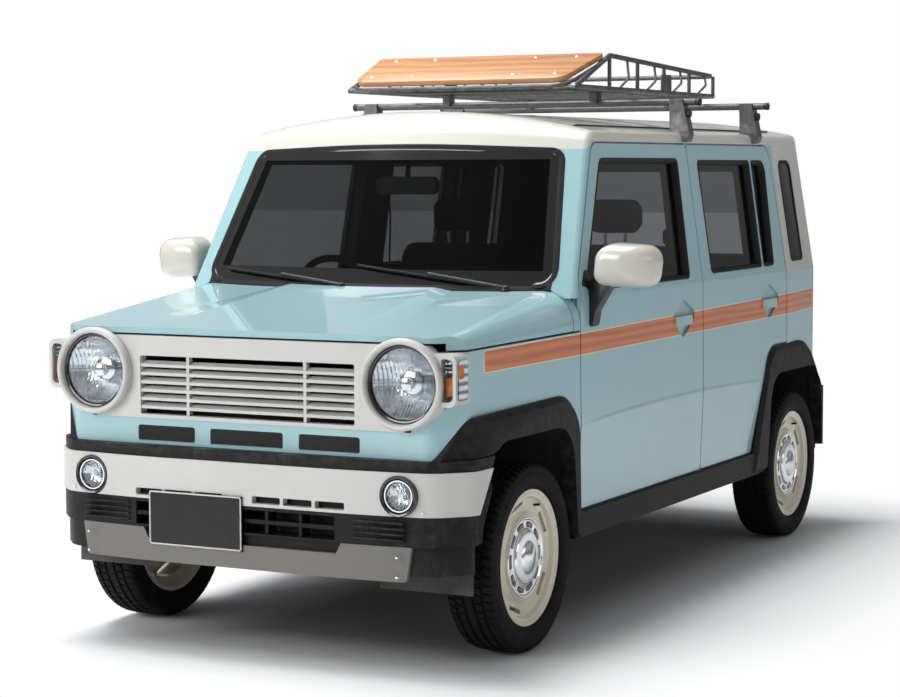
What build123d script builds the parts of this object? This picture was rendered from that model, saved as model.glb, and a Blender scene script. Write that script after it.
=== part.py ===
from build123d import *
import os
from math import cos, radians, sin, sqrt, tan

# Kei car with five doors, arch cladding, slotted steel wheels and a roof rack, in millimetres.
# +X is the car's left, -Y its front and +Z up; the origin is on the ground below the middle.

# Overall sizes
LENGTH = 3395
BODY_WIDTH = 1475
ROOF_HEIGHT = 1660
WHEELBASE = 2425
FRONT_OVERHANG = 530
TRACK = 1290

# Clearances
SHUT_GAP = 6
TURN_GAP = 0.5
ARCH_GAP = 12

# Body section: half widths at the sill's foot, the door's foot, the press line and the belt
SILL_Z, SILL_HALF = 300, 704
DOOR_FOOT_Z, DOOR_FOOT_HALF = 387, 712
PRESS_Z, PRESS_HALF = 665, 724
BELT_Z, BELT_HALF = 1060, 720
TUMBLEHOME = 8.2
REAR_FACE_Y = 1660
REAR_TAPER_Y = 1172
REAR_TAPER = 1 / 15
REAR_CORNER_R = 110
ROOF_CROWN_R = 2900
BROW_R = 150
BROW_Y = -521
WINDSCREEN_SLOPE = 60
ROOF_EDGE_R = 24
ROOF_WALL = 32
SIDE_WALL = 70
SKIN = 14
GLASS = 5
GLASS_IN = 6
DOOR_GLASS_IN = 20

# Nose
NOSE_Y = -1635
COWL_Y = -862
NOSE_WALL = 26
NOSE_CORNER_IN, NOSE_CORNER_OUT_Y = 620, -1560
SHUT_LINE_FRONT_Z, SHUT_LINE_REAR_Z = 949, 958

# Doors, in side view
FRONT_DOOR_Y = -806
DOOR_SPLIT_Y = 262
DOOR_TOP_Z = 1548
REAR_DOOR_Y = 1170
DOOR_LAP = 22
PILLAR_LAP = 48
FRONT_HANDLE, REAR_HANDLE = (68, 953), (965, 965)
HANDLE_RECESS = 10
HANDLE_REACH = 734

# Tyres, rims and hubs
TYRE_R, TYRE_W = 289.5, 165
TYRE_BEAD_R = 192
RIM_R, RIM_LIP_X = 208, 67
HUB_CAP_R = 130
WHEEL_SLOTS = 5
AXLE_R = 16
KINGPIN_X = 585
STRUT_X, STRUT_R = 498, 24

# Bumper
BUMPER_Y = -1690
BAND_LOW_Z, BAND_TOP_Z = 473, 600
STRIP_TOP_Z = 633
BUMPER_LOW_Z = 385
SKID_LOW_Z = 283

# Roof rack
RACK_BAR_Z, RACK_BAR_R = 1700, 13
RACK_BAR_HALF = 690
RACK_BAR_YS = (260, 980)
RACK_FLOOR_Z = 1745
RACK_HALF = 442
RACK_TUBE_R = 9
RACK_FRONT_Y, RACK_REAR_Y = -235, 1080

# Worked out from the above
FRONT_AXLE_Y = -LENGTH / 2 + FRONT_OVERHANG
REAR_AXLE_Y = FRONT_AXLE_Y + WHEELBASE
HUB_Z = TYRE_R
WHEEL_X = TRACK / 2
CLAD_HALF = BODY_WIDTH / 2
BROW_Z = ROOF_HEIGHT - BROW_R
LEAN = tan(radians(TUMBLEHOME))


# Drawing helpers

def outline(corners):
    """Closed outline through corners (a, b, radius), each rounded by its radius."""
    points = [Vector(a, b) for a, b, radius in corners]
    count = len(points)
    turns = []
    for i, (a, b, radius) in enumerate(corners):
        here = points[i]
        back = (points[i - 1] - here).normalized()
        ahead = (points[(i + 1) % count] - here).normalized()
        half = radians(back.get_angle(ahead)) / 2
        if radius > 0:
            reach = radius / tan(half)
            middle = here + (back + ahead).normalized() * (radius / sin(half) - radius)
            turns.append((here + back * reach, middle, here + ahead * reach))
        else:
            turns.append((here, None, here))
    edges = []
    for (start, middle, end), (following, _, _) in zip(turns, turns[1:] + turns[:1]):
        if middle is not None:
            edges.append(ThreePointArc(start, middle, end))
        if (following - end).length > 1e-4:
            edges.append(Line(end, following))
    return make_face(edges)


def flat(shape):
    return shape if isinstance(shape, Sketch) else outline(shape)


def along_x(shape, x0, x1):
    """Prism of a side-view shape (y, z) from x0 to x1."""
    return extrude(Plane.YZ.offset(x0) * flat(shape), amount=x1 - x0)


def along_y(shape, y0, y1):
    """Prism of a front-view shape (x, z) from y0 to y1."""
    return extrude(Plane.XZ.offset(-y0) * flat(shape), amount=y0 - y1)


def along_z(shape, z0, z1):
    """Prism of a plan-view shape (x, y) from z0 to z1."""
    return extrude(Plane.XY.offset(z0) * flat(shape), amount=z1 - z0)


def block(x0, x1, y0, y1, z0, z1):
    size = (x1 - x0, y1 - y0, z1 - z0)
    return Pos((x0 + x1) / 2, (y0 + y1) / 2, (z0 + z1) / 2) * Box(*size)


def rod(start, end, radius):
    """Round bar between two points."""
    path = Vector(*end) - Vector(*start)
    plane = Plane(origin=start, z_dir=path)
    return extrude(plane * Circle(radius), amount=path.length)


def tube(points, bend, radius):
    """Round tube along straight runs joined by arcs of one bend radius."""
    path = FilletPolyline(*points, radius=bend) if len(points) > 2 else Line(*points)
    return sweep((path ^ 0) * Circle(radius), path)


def turned(profile, x, y, z):
    """Solid turned about the line along X through (x, y, z); profile is (across, radius)."""
    face = Plane(origin=(x, y, z), x_dir=(1, 0, 0), z_dir=(0, -1, 0)) * flat(profile)
    return revolve(face, axis=Axis((x, y, z), (1, 0, 0)))


def other_side(part):
    return mirror(part, about=Plane.YZ)


def both_sides(part):
    return part + other_side(part)


# Body forms: each is the outside moved in by an inset

def side_section(inset):
    """Front-view outline of the doors' part of the body, open upwards past the roof."""
    top = ROOF_HEIGHT - BELT_Z
    half = [
        (SILL_HALF - inset, SILL_Z, 0),
        (DOOR_FOOT_HALF - inset, DOOR_FOOT_Z, 0),
        (PRESS_HALF - inset, PRESS_Z, 8),
        (BELT_HALF - inset, BELT_Z, 0),
        (BELT_HALF - inset - top * LEAN, ROOF_HEIGHT, 0),
    ]
    return outline([(-x, z, r) for x, z, r in half] + [(x, z, r) for x, z, r in half[::-1]])


def side_strip(outer, inner):
    """The left side of the section between two insets, as a strip."""
    return along_y(side_section(outer), FRONT_DOOR_Y - 20, REAR_DOOR_Y + 20) - along_y(
        side_section(inner), FRONT_DOOR_Y - 30, REAR_DOOR_Y + 30
    ) & block(0, BODY_WIDTH, FRONT_DOOR_Y - 20, REAR_DOOR_Y + 20, SILL_Z, ROOF_HEIGHT)


def rear_corner(inset):
    x = PRESS_HALF - inset - (REAR_FACE_Y - REAR_TAPER_Y) * REAR_TAPER
    return x, REAR_FACE_Y - inset, max(REAR_CORNER_R - inset, 30)


def lower_body(inset):
    wide = PRESS_HALF + 10 - inset
    wide_y = REAR_TAPER_Y - 10 / REAR_TAPER
    x, y, r = rear_corner(inset)
    plan = [(wide, -900, 0), (wide, wide_y, 0), (x, y, r), (-x, y, r), (-wide, wide_y, 0), (-wide, -900, 0)]
    section = side_section(inset)
    low = along_y(section, FRONT_DOOR_Y - SHUT_GAP, REAR_FACE_Y + 20)
    return low & along_z(plan, SILL_Z - 5, BELT_Z)


def cabin_plan(inset):
    half = BELT_HALF - inset
    turn_y = REAR_TAPER_Y + (PRESS_HALF - BELT_HALF) / REAR_TAPER
    x, y, r = rear_corner(inset)
    plan = [(half, -1400, 0), (half, turn_y, 1500), (x, y, r)]
    return outline(plan + [(-a, b, radius) for a, b, radius in plan[::-1]])


def cabin(inset, roof_inset):
    """Greenhouse: tapered plan, cut by a crowned tunnel of windscreen, brow and roof."""
    rise = 640
    foot = Plane.XY.offset(BELT_Z) * cabin_plan(inset)
    head = Plane.XY.offset(BELT_Z + rise) * cabin_plan(inset + rise * LEAN)
    tapered = loft([foot, head], ruled=True)
    crown = ROOF_CROWN_R - roof_inset
    top = BROW_R - roof_inset
    wide = BODY_WIDTH / 2 + 20
    edge = top - crown + sqrt(crown**2 - wide**2)

    def crowned(depth):
        return make_face(
            [
                Line((-wide, edge), (-wide, -depth)),
                Line((-wide, -depth), (wide, -depth)),
                Line((wide, -depth), (wide, edge)),
                ThreePointArc((wide, edge), (0, top), (-wide, edge)),
            ]
        )

    pivot = (0, BROW_Y, BROW_Z)
    slope = radians(WINDSCREEN_SLOPE)
    upright = Plane(origin=pivot, x_dir=(1, 0, 0), z_dir=(0, -1, 0))
    leaning = Plane(origin=pivot, x_dir=(1, 0, 0), z_dir=(0, -cos(slope), -sin(slope)))
    roof = extrude(upright * crowned(600), amount=-2400)
    brow = revolve(upright * crowned(0), axis=Axis(pivot, (1, 0, 0)), revolution_arc=WINDSCREEN_SLOPE)
    screen = extrude(leaning * crowned(600), amount=900)
    return tapered & (roof + brow + screen)


def rounded_cabin():
    shape = cabin(0, 0)
    chain = [
        edge
        for edge in shape.edges()
        if (edge @ 0.5).Z > 1570 and (abs((edge @ 0.5).X) > 560 or (edge @ 0.5).Y > 1500)
    ]
    return fillet(chain, ROOF_EDGE_R)


def nose(inset):
    """Bonnet and fenders: a ruled loft between two stations, with rounded plan corners."""
    # y, side at the foot, side at the press line, side, shoulder z, shoulder radius,
    # crease outer x, crease outer z, crease inner x, crease inner z
    stations = (
        (-1660, 690, 700, 699, 982, 36, 470, 984, 330, 986),
        (-790, 712, 724, 720, 1092, 116, 300, 1097, 255, 1111),
    )
    faces = []
    for y, foot, press, side, top, radius, out_x, out_z, in_x, in_z in stations:
        half = [
            (foot - inset, SILL_Z, 0),
            (press - inset, PRESS_Z, 8),
            (side - inset, top - inset, radius - inset * 0.6),
            (out_x, out_z - inset, 0),
            (in_x, in_z - inset, 0),
        ]
        ring = [(x, z, r) for x, z, r in half] + [(-x, z, r) for x, z, r in half[::-1]]
        faces.append(Plane.XZ.offset(-y) * outline(ring))
    front = NOSE_Y + inset
    side = PRESS_HALF + 20
    plan = [
        (NOSE_CORNER_IN - inset * 0.6, front, 60),
        (702 - inset, NOSE_CORNER_OUT_Y + inset * 0.3, 60),
        (side, -1100, 0),
        (side, -700, 0),
    ]
    plan += [(-x, y, r) for x, y, r in plan[::-1]]
    return loft(faces, ruled=True) & along_z(plan, SILL_Z - 5, 1200)


# Side-view outlines (y, z)

FRONT_DOOR = [
    (FRONT_DOOR_Y, DOOR_FOOT_Z, 20),
    (FRONT_DOOR_Y, 1112, 90),
    (-564, DOOR_TOP_Z, 60),
    (DOOR_SPLIT_Y - SHUT_GAP / 2, DOOR_TOP_Z, 16),
    (DOOR_SPLIT_Y - SHUT_GAP / 2, DOOR_FOOT_Z, 16),
]
REAR_DOOR = [
    (DOOR_SPLIT_Y + SHUT_GAP / 2, DOOR_FOOT_Z, 16),
    (DOOR_SPLIT_Y + SHUT_GAP / 2, DOOR_TOP_Z, 16),
    (1130, DOOR_TOP_Z, 60),
    (REAR_DOOR_Y, 1040, 200),
    (REAR_DOOR_Y, DOOR_FOOT_Z, 0),
]
FRONT_WINDOW = [(-755, 1084, 12), (-517, 1494, 34), (157, 1494, 14), (135, 1084, 14)]
REAR_WINDOW = [(363, 1092, 14), (358, 1488, 14), (888, 1488, 10), (888, 1094, 10)]
REAR_VENT = [(922, 1094, 10), (922, 1488, 10), (1062, 1488, 40), (1026, 1096, 14)]
QUARTER_WINDOW = [(1252, 1104, 12), (1240, 1486, 25), (1392, 1486, 36), (1412, 1104, 14)]
# Windscreen, seen from the front (x, z)
WINDSCREEN = [
    (650, 1096, 46),
    (574, 1524, 46),
    (0, 1545, 9000),
    (-574, 1524, 46),
    (-650, 1096, 46),
]
# Arches relative to the wheel's centre (y, z)
CLAD_FOOT = SILL_Z - TYRE_R
FRONT_ARCH = [(322, -70, 0), (270, 381, 130), (-262, 381, 90), (-338, 140, 60), (-352, -70, 0)]
FRONT_CLAD = [
    (352, CLAD_FOOT, 0),
    (336, 478, 150),
    (-392, 462, 50),
    (-462, STRIP_TOP_Z - TYRE_R, 0),
    (-262, STRIP_TOP_Z - TYRE_R, 0),
    (-372, BAND_LOW_Z - TYRE_R, 0),
    (-376, BUMPER_LOW_Z - TYRE_R, 0),
    (-300, BUMPER_LOW_Z - TYRE_R, 0),
    (0, -60, 0),
    (300, CLAD_FOOT, 0),
]
REAR_ARCH = [(-356, -70, 0), (-286, 381, 120), (286, 381, 120), (350, -70, 0)]
REAR_CLAD = [(-498, CLAD_FOOT, 0), (-298, 488, 110), (150, 488, 200), (332, 300, 60), (332, CLAD_FOOT, 0)]


def at_wheel(shape, wheel_y):
    return Pos(wheel_y, HUB_Z) * outline(shape)


def grown(shape, amount):
    return offset(flat(shape), amount=amount, kind=Kind.INTERSECTION)


# Shared forms

CABIN = rounded_cabin()
CABIN_IN = cabin(SIDE_WALL, ROOF_WALL)
LOWER = lower_body(0)
SHELL = LOWER + CABIN - (lower_body(SIDE_WALL) + CABIN_IN)
NOSE = nose(0)
NOSE_SHELL = NOSE - nose(NOSE_WALL)

TAIL_SPLIT_Y = 1540
TAIL_LOW_Z = 578
TAIL_HINGE = (TAIL_SPLIT_Y, ROOF_HEIGHT)
# Tailgate, seen from behind (x, z)
TAILGATE = [(560, TAIL_LOW_Z, 40), (604, 800, 200), (600, 1060, 200), (560, 1720, 0)]
TAILGATE += [(-x, z, r) for x, z, r in TAILGATE[::-1]]
TAIL_WINDOW = [(520, 1100, 40), (478, 1500, 50)]
TAIL_WINDOW += [(-x, z, r) for x, z, r in TAIL_WINDOW[::-1]]


def tailgate_space(gap):
    return along_y(grown(TAILGATE, gap), TAIL_SPLIT_Y - gap, REAR_FACE_Y + 40)


def side_opening(shape, x0=500, x1=800):
    return along_x(shape, x0, x1)


def arch_space(shape, wheel_y, gap):
    return along_x(grown(at_wheel(shape, wheel_y), gap), 380, 800)


# Outer body pieces

def windscreen_hole():
    return along_y(WINDSCREEN, -1000, -560)


def make_fixed_glass():
    pane = CABIN - cabin(GLASS_IN, GLASS_IN)
    quarter = pane & side_opening(QUARTER_WINDOW)
    return (pane & windscreen_hole()) + both_sides(quarter)


def make_roof():
    """Roof skin with its rails, the brow over the windscreen and the rear pillars."""
    region = [
        (-900, 1530, 0),
        (-596, 1530, 0),
        (-566, DOOR_TOP_Z + SHUT_GAP, 0),
        (REAR_DOOR_Y + SHUT_GAP, DOOR_TOP_Z + SHUT_GAP, 0),
        (REAR_DOOR_Y + SHUT_GAP, BELT_Z, 0),
        (REAR_FACE_Y + 40, BELT_Z, 0),
        (REAR_FACE_Y + 40, 1720, 0),
        (-900, 1720, 0),
    ]
    shape = SHELL & along_x(region, -800, 800)
    shape -= windscreen_hole() + tailgate_space(SHUT_GAP)
    shape -= both_sides(side_opening(QUARTER_WINDOW))
    return shape


def make_corner_block():
    """Base of the windscreen pillar, on the fender's side."""
    form = NOSE + CABIN
    cut = block(640, 800, COWL_Y + SHUT_GAP, FRONT_DOOR_Y - SHUT_GAP, SHUT_LINE_REAR_Z, 1137)
    return (form & cut) - windscreen_hole()


def make_fender():
    side = NOSE_SHELL & block(560, 800, NOSE_Y - 10, FRONT_DOOR_Y - SHUT_GAP, 382, 1200)
    low = [
        (NOSE_Y - 20, STRIP_TOP_Z, 0),
        (NOSE_Y - 20, SHUT_LINE_FRONT_Z - SHUT_GAP, 0),
        (FRONT_DOOR_Y, SHUT_LINE_REAR_Z - SHUT_GAP, 0),
        (FRONT_DOOR_Y, 382, 0),
        (FRONT_AXLE_Y + 200, 382, 0),
        (FRONT_AXLE_Y, STRIP_TOP_Z, 0),
    ]
    side = side & along_x(low, 500, 800)
    return side - arch_space(FRONT_ARCH, FRONT_AXLE_Y, ARCH_GAP) + make_corner_block()


def make_side_frame(fender):
    """Sill, hinge post, pillars and rear quarter of the left side."""
    region = [
        (-900, SILL_Z, 0),
        (-900, 1530, 0),
        (-596, 1530, 0),
        (-566, DOOR_TOP_Z + SHUT_GAP, 0),
        (REAR_DOOR_Y + SHUT_GAP, DOOR_TOP_Z + SHUT_GAP, 0),
        (REAR_DOOR_Y + SHUT_GAP, BELT_Z, 0),
        (REAR_FACE_Y + 40, BELT_Z, 0),
        (REAR_FACE_Y + 40, SILL_Z, 0),
    ]
    shape = SHELL & along_x(region, 0, 800)
    shape -= windscreen_hole() + block(0, 640, -1000, -700, BELT_Z - 10, 1160)
    deep = SKIN + SHUT_GAP
    skin_space = side_opening(grown(FRONT_DOOR, SHUT_GAP)) + side_opening(grown(REAR_DOOR, SHUT_GAP))
    shape -= skin_space & side_strip(-20, deep)
    shape -= side_opening(grown(front_door_body(), SHUT_GAP))
    shape -= side_opening(grown(rear_door_body(), SHUT_GAP))
    shape -= tailgate_space(SHUT_GAP)
    shape -= arch_space(REAR_ARCH, REAR_AXLE_Y, ARCH_GAP)
    shape -= block(0, 800, 1590, 1700, SILL_Z - 10, TAIL_LOW_Z - SHUT_GAP)
    shape -= tail_lamp_space()
    post = [
        (-870, SHUT_LINE_REAR_Z, 0),
        (-786, SHUT_LINE_REAR_Z, 0),
        (-786, SILL_Z, 0),
        (-815, SILL_Z, 0),
        (-815, 392, 0),
        (-870, 484, 0),
    ]
    shape = (shape & block(0, 800, COWL_Y + SHUT_GAP, 1800, SILL_Z, 1800)) + along_x(post, 642, 690)
    return shape - fender - arch_space(FRONT_ARCH, FRONT_AXLE_Y, ARCH_GAP)


def front_door_body():
    lap = grown(FRONT_DOOR, -DOOR_LAP)
    return lap & Pos(DOOR_SPLIT_Y - PILLAR_LAP - 1000, 1000) * Rectangle(2000, 2000)


def rear_door_body():
    lap = grown(rear_door_face(), -DOOR_LAP)
    return lap & Pos(DOOR_SPLIT_Y + PILLAR_LAP + 1000, 1000) * Rectangle(2000, 2000)


def rear_door_face():
    return flat(REAR_DOOR) - grown(at_wheel(REAR_CLAD, REAR_AXLE_Y), SHUT_GAP)


def make_door(face, body, windows, handle):
    skin = side_strip(0, SKIN) & along_x(face, 300, 800)
    inner = side_strip(SKIN, SIDE_WALL) & along_x(body, 300, 800)
    shape = skin + inner
    for window in windows:
        shape -= along_x(window, 300, 800)
    y, z = handle
    kite = [(y - 104, z, 22), (y, z - 83, 34), (y + 132, z, 22), (y, z + 59, 34)]
    shape -= along_x(kite, 600, 800) & side_strip(-20, HANDLE_RECESS)
    return shape + handle_grip(y, z - 19)


def handle_grip(y, z):
    """Pull bar across the recess, with room for fingers behind it."""
    half = 94
    reach = HANDLE_REACH
    plan = [
        (reach - 40, y - half - 4, 0),
        (reach - 12, y - half, 8),
        (reach, y - half + 38, 30),
        (reach, y + half - 38, 30),
        (reach - 12, y + half, 8),
        (reach - 40, y + half + 4, 0),
    ]
    bar = along_z(plan, z - 17, z + 17)
    bar -= block(reach - 50, reach - 12, y - half + 34, y + half - 34, z - 18, z + 18)
    return bar - along_y(side_section(HANDLE_RECESS + 1), -1000, 1300)


def make_door_glass(windows):
    pane = side_strip(DOOR_GLASS_IN, DOOR_GLASS_IN + GLASS)
    glass = pane & along_x(windows[0], 300, 800)
    for window in windows[1:]:
        glass += pane & along_x(window, 300, 800)
    return glass


def make_mirror(door):
    """Black foot on the door's skin and the housing it carries."""
    foot = [(700, 966, 0), (733, 962, 8), (742, 1010, 40), (800, 1112, 20), (760, 1128, 10), (700, 1100, 0)]
    arm = fillet(along_y(foot, -738, -690).edges().filter_by(Axis.Y), 3)
    housing = [(752, 1112, 26), (936, 1108, 34), (948, 1226, 44), (770, 1234, 50)]
    shell = along_y(housing, -756, -652)
    front = shell.faces().sort_by(Axis.Y)[0]
    shell = fillet(front.edges(), 22)
    return arm + shell - door - along_y(side_section(0), -900, -500)


def make_bonnet():
    low = [
        (NOSE_Y - 30, SHUT_LINE_FRONT_Z, 0),
        (COWL_Y, SHUT_LINE_REAR_Z, 0),
        (COWL_Y, 1200, 0),
        (NOSE_Y - 30, 1200, 0),
    ]
    shape = NOSE_SHELL & along_x(low, -800, 800)
    shape -= block(-656, 656, NOSE_Y - 10, NOSE_Y + 60, 900, PANEL_TOP_Z + SHUT_GAP)
    return shape - cowl_space(0)


def cowl_space(gap):
    """Plan region behind the bonnet's curved rear edge."""
    rear = COWL_Y - 6 + gap
    middle = -952 + gap
    arc = ThreePointArc((-640, rear), (0, middle), (640, rear))
    sides = [Line((640, rear), (640, -700)), Line((640, -700), (-640, -700)), Line((-640, -700), (-640, rear))]
    return along_z(make_face([arc] + sides), 1000, 1200)


def make_cowl():
    shelf = cowl_space(SHUT_GAP) & block(-640, 640, -1000, -800, 1050, 1086)
    rail = (CABIN - CABIN_IN) & block(-640, 640, -1000, -800, BELT_Z, 1120) & cowl_space(SHUT_GAP)
    return (shelf - CABIN) + (rail - windscreen_hole())


# Front panel with louvres, lamps and bezels

PANEL_LOW_Z, PANEL_TOP_Z = 712, 964
PANEL_FACE_Y = -1641
FRAME_Y = NOSE_Y + NOSE_WALL
LAMP_X, LAMP_Z, LAMP_R, BEZEL_R = 540, 852, 115, 133.5
BEZEL_FACE_Y = -1660
LOUVRE_HALF, LOUVRE_LOW_Z, LOUVRE_TOP_Z = 376, 724, 903
SLATS = 7
SLAT_FACE = 9
EAR_BACK_Y = -1560
EAR = [(600, 792, 0), (712, 792, 24), (712, 944, 24), (600, 944, 0)]
SIDE_LAMP = [(664, 806, 10), (702, 806, 16), (702, 930, 16), (664, 930, 10)]


def along_y_disc(x, z, radius, y0, y1):
    return along_y(Pos(x, z) * Circle(radius), y0, y1)


def panel_outline():
    plate = Pos(0, (PANEL_LOW_Z + PANEL_TOP_Z) / 2) * Rectangle(2 * LAMP_X, PANEL_TOP_Z - PANEL_LOW_Z)
    for side in (-1, 1):
        plate += Pos(side * LAMP_X, LAMP_Z) * Circle(BEZEL_R)
        plate += outline([(side * x, z, r) for x, z, r in EAR][::side])
    return plate


def make_grille_panel():
    below_top = block(-800, 800, -1700, -1500, 600, PANEL_TOP_Z)
    shape = along_y(panel_outline(), PANEL_FACE_Y, FRAME_Y) & below_top
    opening = [
        (-LOUVRE_HALF, LOUVRE_LOW_Z, 6),
        (LOUVRE_HALF, LOUVRE_LOW_Z, 6),
        (LOUVRE_HALF, LOUVRE_TOP_Z, 6),
        (-LOUVRE_HALF, LOUVRE_TOP_Z, 6),
    ]
    shape -= along_y(opening, -1700, -1500)
    pitch = (LOUVRE_TOP_Z - LOUVRE_LOW_Z) / SLATS
    for row in range(SLATS - 1):
        z = LOUVRE_LOW_Z + pitch * (row + 1)
        slat = [
            (PANEL_FACE_Y + 3, z - SLAT_FACE, 0),
            (PANEL_FACE_Y + 3, z, 0),
            (FRAME_Y - 6, z + SLAT_FACE, 0),
            (FRAME_Y - 6, z, 0),
        ]
        shape += along_x(slat, -LOUVRE_HALF - 2, LOUVRE_HALF + 2)
    for x in (-206, 206):
        shape += block(x - 5, x + 5, PANEL_FACE_Y + 5, FRAME_Y - 8, LOUVRE_LOW_Z - 2, LOUVRE_TOP_Z + 2)
    for side in (-1, 1):
        ring = along_y_disc(side * LAMP_X, LAMP_Z, BEZEL_R, BEZEL_FACE_Y, PANEL_FACE_Y)
        ring -= block(-800, 800, PANEL_FACE_Y - 3, PANEL_FACE_Y + 1, PANEL_TOP_Z - 3, 1000)
        shape += ring
        ear = outline([(side * x, z, r) for x, z, r in EAR][::side])
        shape += along_y(ear, PANEL_FACE_Y - 9, EAR_BACK_Y)
        recess = outline([(side * x, z, r) for x, z, r in SIDE_LAMP][::side])
        shape -= along_y(recess, -1700, EAR_BACK_Y - 25)
        shape -= along_y_disc(side * LAMP_X, LAMP_Z, LAMP_R, -1700, -1500)
    return shape


def make_front_lamps():
    bowl = [(0, FRAME_Y, 0), (LAMP_R, FRAME_Y, 0), (LAMP_R, -1648, 0), (70, -1661, 0), (0, -1664, 0)]
    face = Plane(origin=(LAMP_X, 0, LAMP_Z), x_dir=(1, 0, 0), z_dir=(0, 0, 1)) * outline(bowl)
    head = revolve(face, axis=Axis((LAMP_X, 0, LAMP_Z), (0, 1, 0)))
    side = along_y(SIDE_LAMP, PANEL_FACE_Y - 7, EAR_BACK_Y - 25)
    return both_sides(head + side)


def make_nose_panel():
    shape = NOSE_SHELL & block(-560, 560, NOSE_Y - 10, FRAME_Y, STRIP_TOP_Z, PANEL_LOW_Z)
    for x0, x1 in ((-128, 128), (183, 390), (-390, -183)):
        vent = [(x0, 642, 8), (x1, 642, 8), (x1, 690, 8), (x0, 690, 8)]
        shape -= along_y(vent, NOSE_Y - 10, NOSE_Y + 8)
    return shape


def front_panel_space():
    return along_y(panel_outline(), -1700, EAR_BACK_Y)


# Front bumper

FOG_X, FOG_Z, FOG_R = 538, 532, 60
GRID = (-368, 332, 392, 462)
ARCH_SIDE_CUT = [
    (FRONT_AXLE_Y - 262, STRIP_TOP_Z, 0),
    (FRONT_AXLE_Y - 372, BAND_LOW_Z, 0),
    (FRONT_AXLE_Y - 376, BUMPER_LOW_Z, 0),
    (FRONT_AXLE_Y - 376, 250, 0),
    (FRONT_AXLE_Y + 100, 250, 0),
    (FRONT_AXLE_Y + 100, 700, 0),
    (FRONT_AXLE_Y - 262, 700, 0),
]


def bumper_plan(inset):
    half = [
        (380, BUMPER_Y + inset, 2400),
        (640 - inset * 0.45, BUMPER_Y + 30 + inset * 0.95, 130),
        (733 - inset * 0.95, -1560 + inset * 0.45, 70),
        (736 - inset, -1300, 0),
    ]
    return half + [(-x, y, r) for x, y, r in half[::-1]]


def bumper_layer(outer, inner, z0, z1):
    shape = along_z(bumper_plan(outer), z0, z1) - along_z(bumper_plan(inner), z0 - 1, z1 + 1)
    return shape - both_sides(along_x(ARCH_SIDE_CUT, 380, 900))


def make_front_bumper():
    back = FRAME_Y - BUMPER_Y
    shape = bumper_layer(6, back, BAND_TOP_Z, STRIP_TOP_Z)
    shape += bumper_layer(25, back, BAND_LOW_Z, BAND_TOP_Z)
    shape += bumper_layer(3, back, BUMPER_LOW_Z, BAND_LOW_Z)
    shape += bumper_layer(14, back, 300, BUMPER_LOW_Z)
    x0, x1, z0, z1 = GRID
    shape -= block(x0, x1, -1720, -1500, z0, z1)
    for x in (x0 + 116, x0 + 232, x0 + 348, x0 + 464, x0 + 580):
        shape += block(x - 5, x + 5, BUMPER_Y + 12, BUMPER_Y + 60, z0 - 1, z1 + 1)
    shape += block(x0 - 1, x1 + 1, BUMPER_Y + 10, BUMPER_Y + 60, (z0 + z1) / 2 - 6, (z0 + z1) / 2 + 6)
    return shape - both_sides(along_y_disc(FOG_X, FOG_Z, FOG_R, -1720, -1640))


def make_bumper_band():
    shape = bumper_layer(0, 25, BAND_LOW_Z, BAND_TOP_Z)
    shape -= both_sides(along_y_disc(FOG_X, FOG_Z, FOG_R, -1720, -1600))
    for x in (52, 160, 268):
        slot = [(x, 482, 5), (x + 98, 482, 5), (x + 98, 504, 5), (x, 504, 5)]
        shape -= both_sides(along_y(slot, -1720, -1600))
    return shape


def make_fog_lamps():
    lamp = along_y_disc(FOG_X, FOG_Z, FOG_R, BUMPER_Y + 8, -1640)
    return both_sides(lamp - along_y_disc(FOG_X, FOG_Z, FOG_R - 16, BUMPER_Y - 10, BUMPER_Y + 20))


def make_skid_plate():
    face = [
        (577, BUMPER_LOW_Z, 4),
        (560, SKID_LOW_Z, 10),
        (-560, SKID_LOW_Z, 10),
        (-577, BUMPER_LOW_Z, 4),
        (-338, BUMPER_LOW_Z, 0),
        (-322, 354, 0),
        (338, 354, 0),
        (354, BUMPER_LOW_Z, 0),
    ]
    return bumper_layer(0, 14, SKID_LOW_Z, BUMPER_LOW_Z) & along_y(face, -1720, -1500)


def make_number_plate():
    return block(-310, 20, -LENGTH / 2, BUMPER_Y, 336, 500)


# Side cladding

LIP_X = 688


def arch_cladding(shape, arch, wheel_y, body):
    ring = at_wheel(shape, wheel_y)
    rim = along_x(ring, 600, CLAD_HALF - 15)
    cap = extrude(Plane.YZ.offset(CLAD_HALF - 15) * ring, amount=15, taper=50)
    lip = along_x(grown(at_wheel(arch, wheel_y), ARCH_GAP) & ring, LIP_X, CLAD_HALF - 15)
    return (rim + cap - body) + lip - arch_space(arch, wheel_y, 0)


def make_cladding():
    sill = [
        (FRONT_AXLE_Y + 340, SILL_Z, 0),
        (FRONT_AXLE_Y + 340, DOOR_FOOT_Z - SHUT_GAP, 0),
        (REAR_AXLE_Y - 400, DOOR_FOOT_Z - SHUT_GAP, 0),
        (REAR_AXLE_Y - 400, SILL_Z, 0),
    ]
    strip = along_x(sill, 640, CLAD_HALF - 9) - along_y(side_section(0), -900, 1000)
    strip -= NOSE
    front = arch_cladding(FRONT_CLAD, FRONT_ARCH, FRONT_AXLE_Y, NOSE + LOWER)
    rear = arch_cladding(REAR_CLAD, REAR_ARCH, REAR_AXLE_Y, LOWER)
    return front + rear + strip


# Rear

def make_tailgate():
    shape = SHELL & tailgate_space(0)
    return shape - along_y(TAIL_WINDOW, 1500, 1800)


def make_tailgate_glass():
    return (CABIN - cabin(GLASS_IN, GLASS_IN)) & along_y(TAIL_WINDOW, 1560, 1800)


def tail_lamp_space():
    return (LOWER - lower_body(45)) & block(612, 800, 1552, 1700, 795, 1035)


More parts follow.
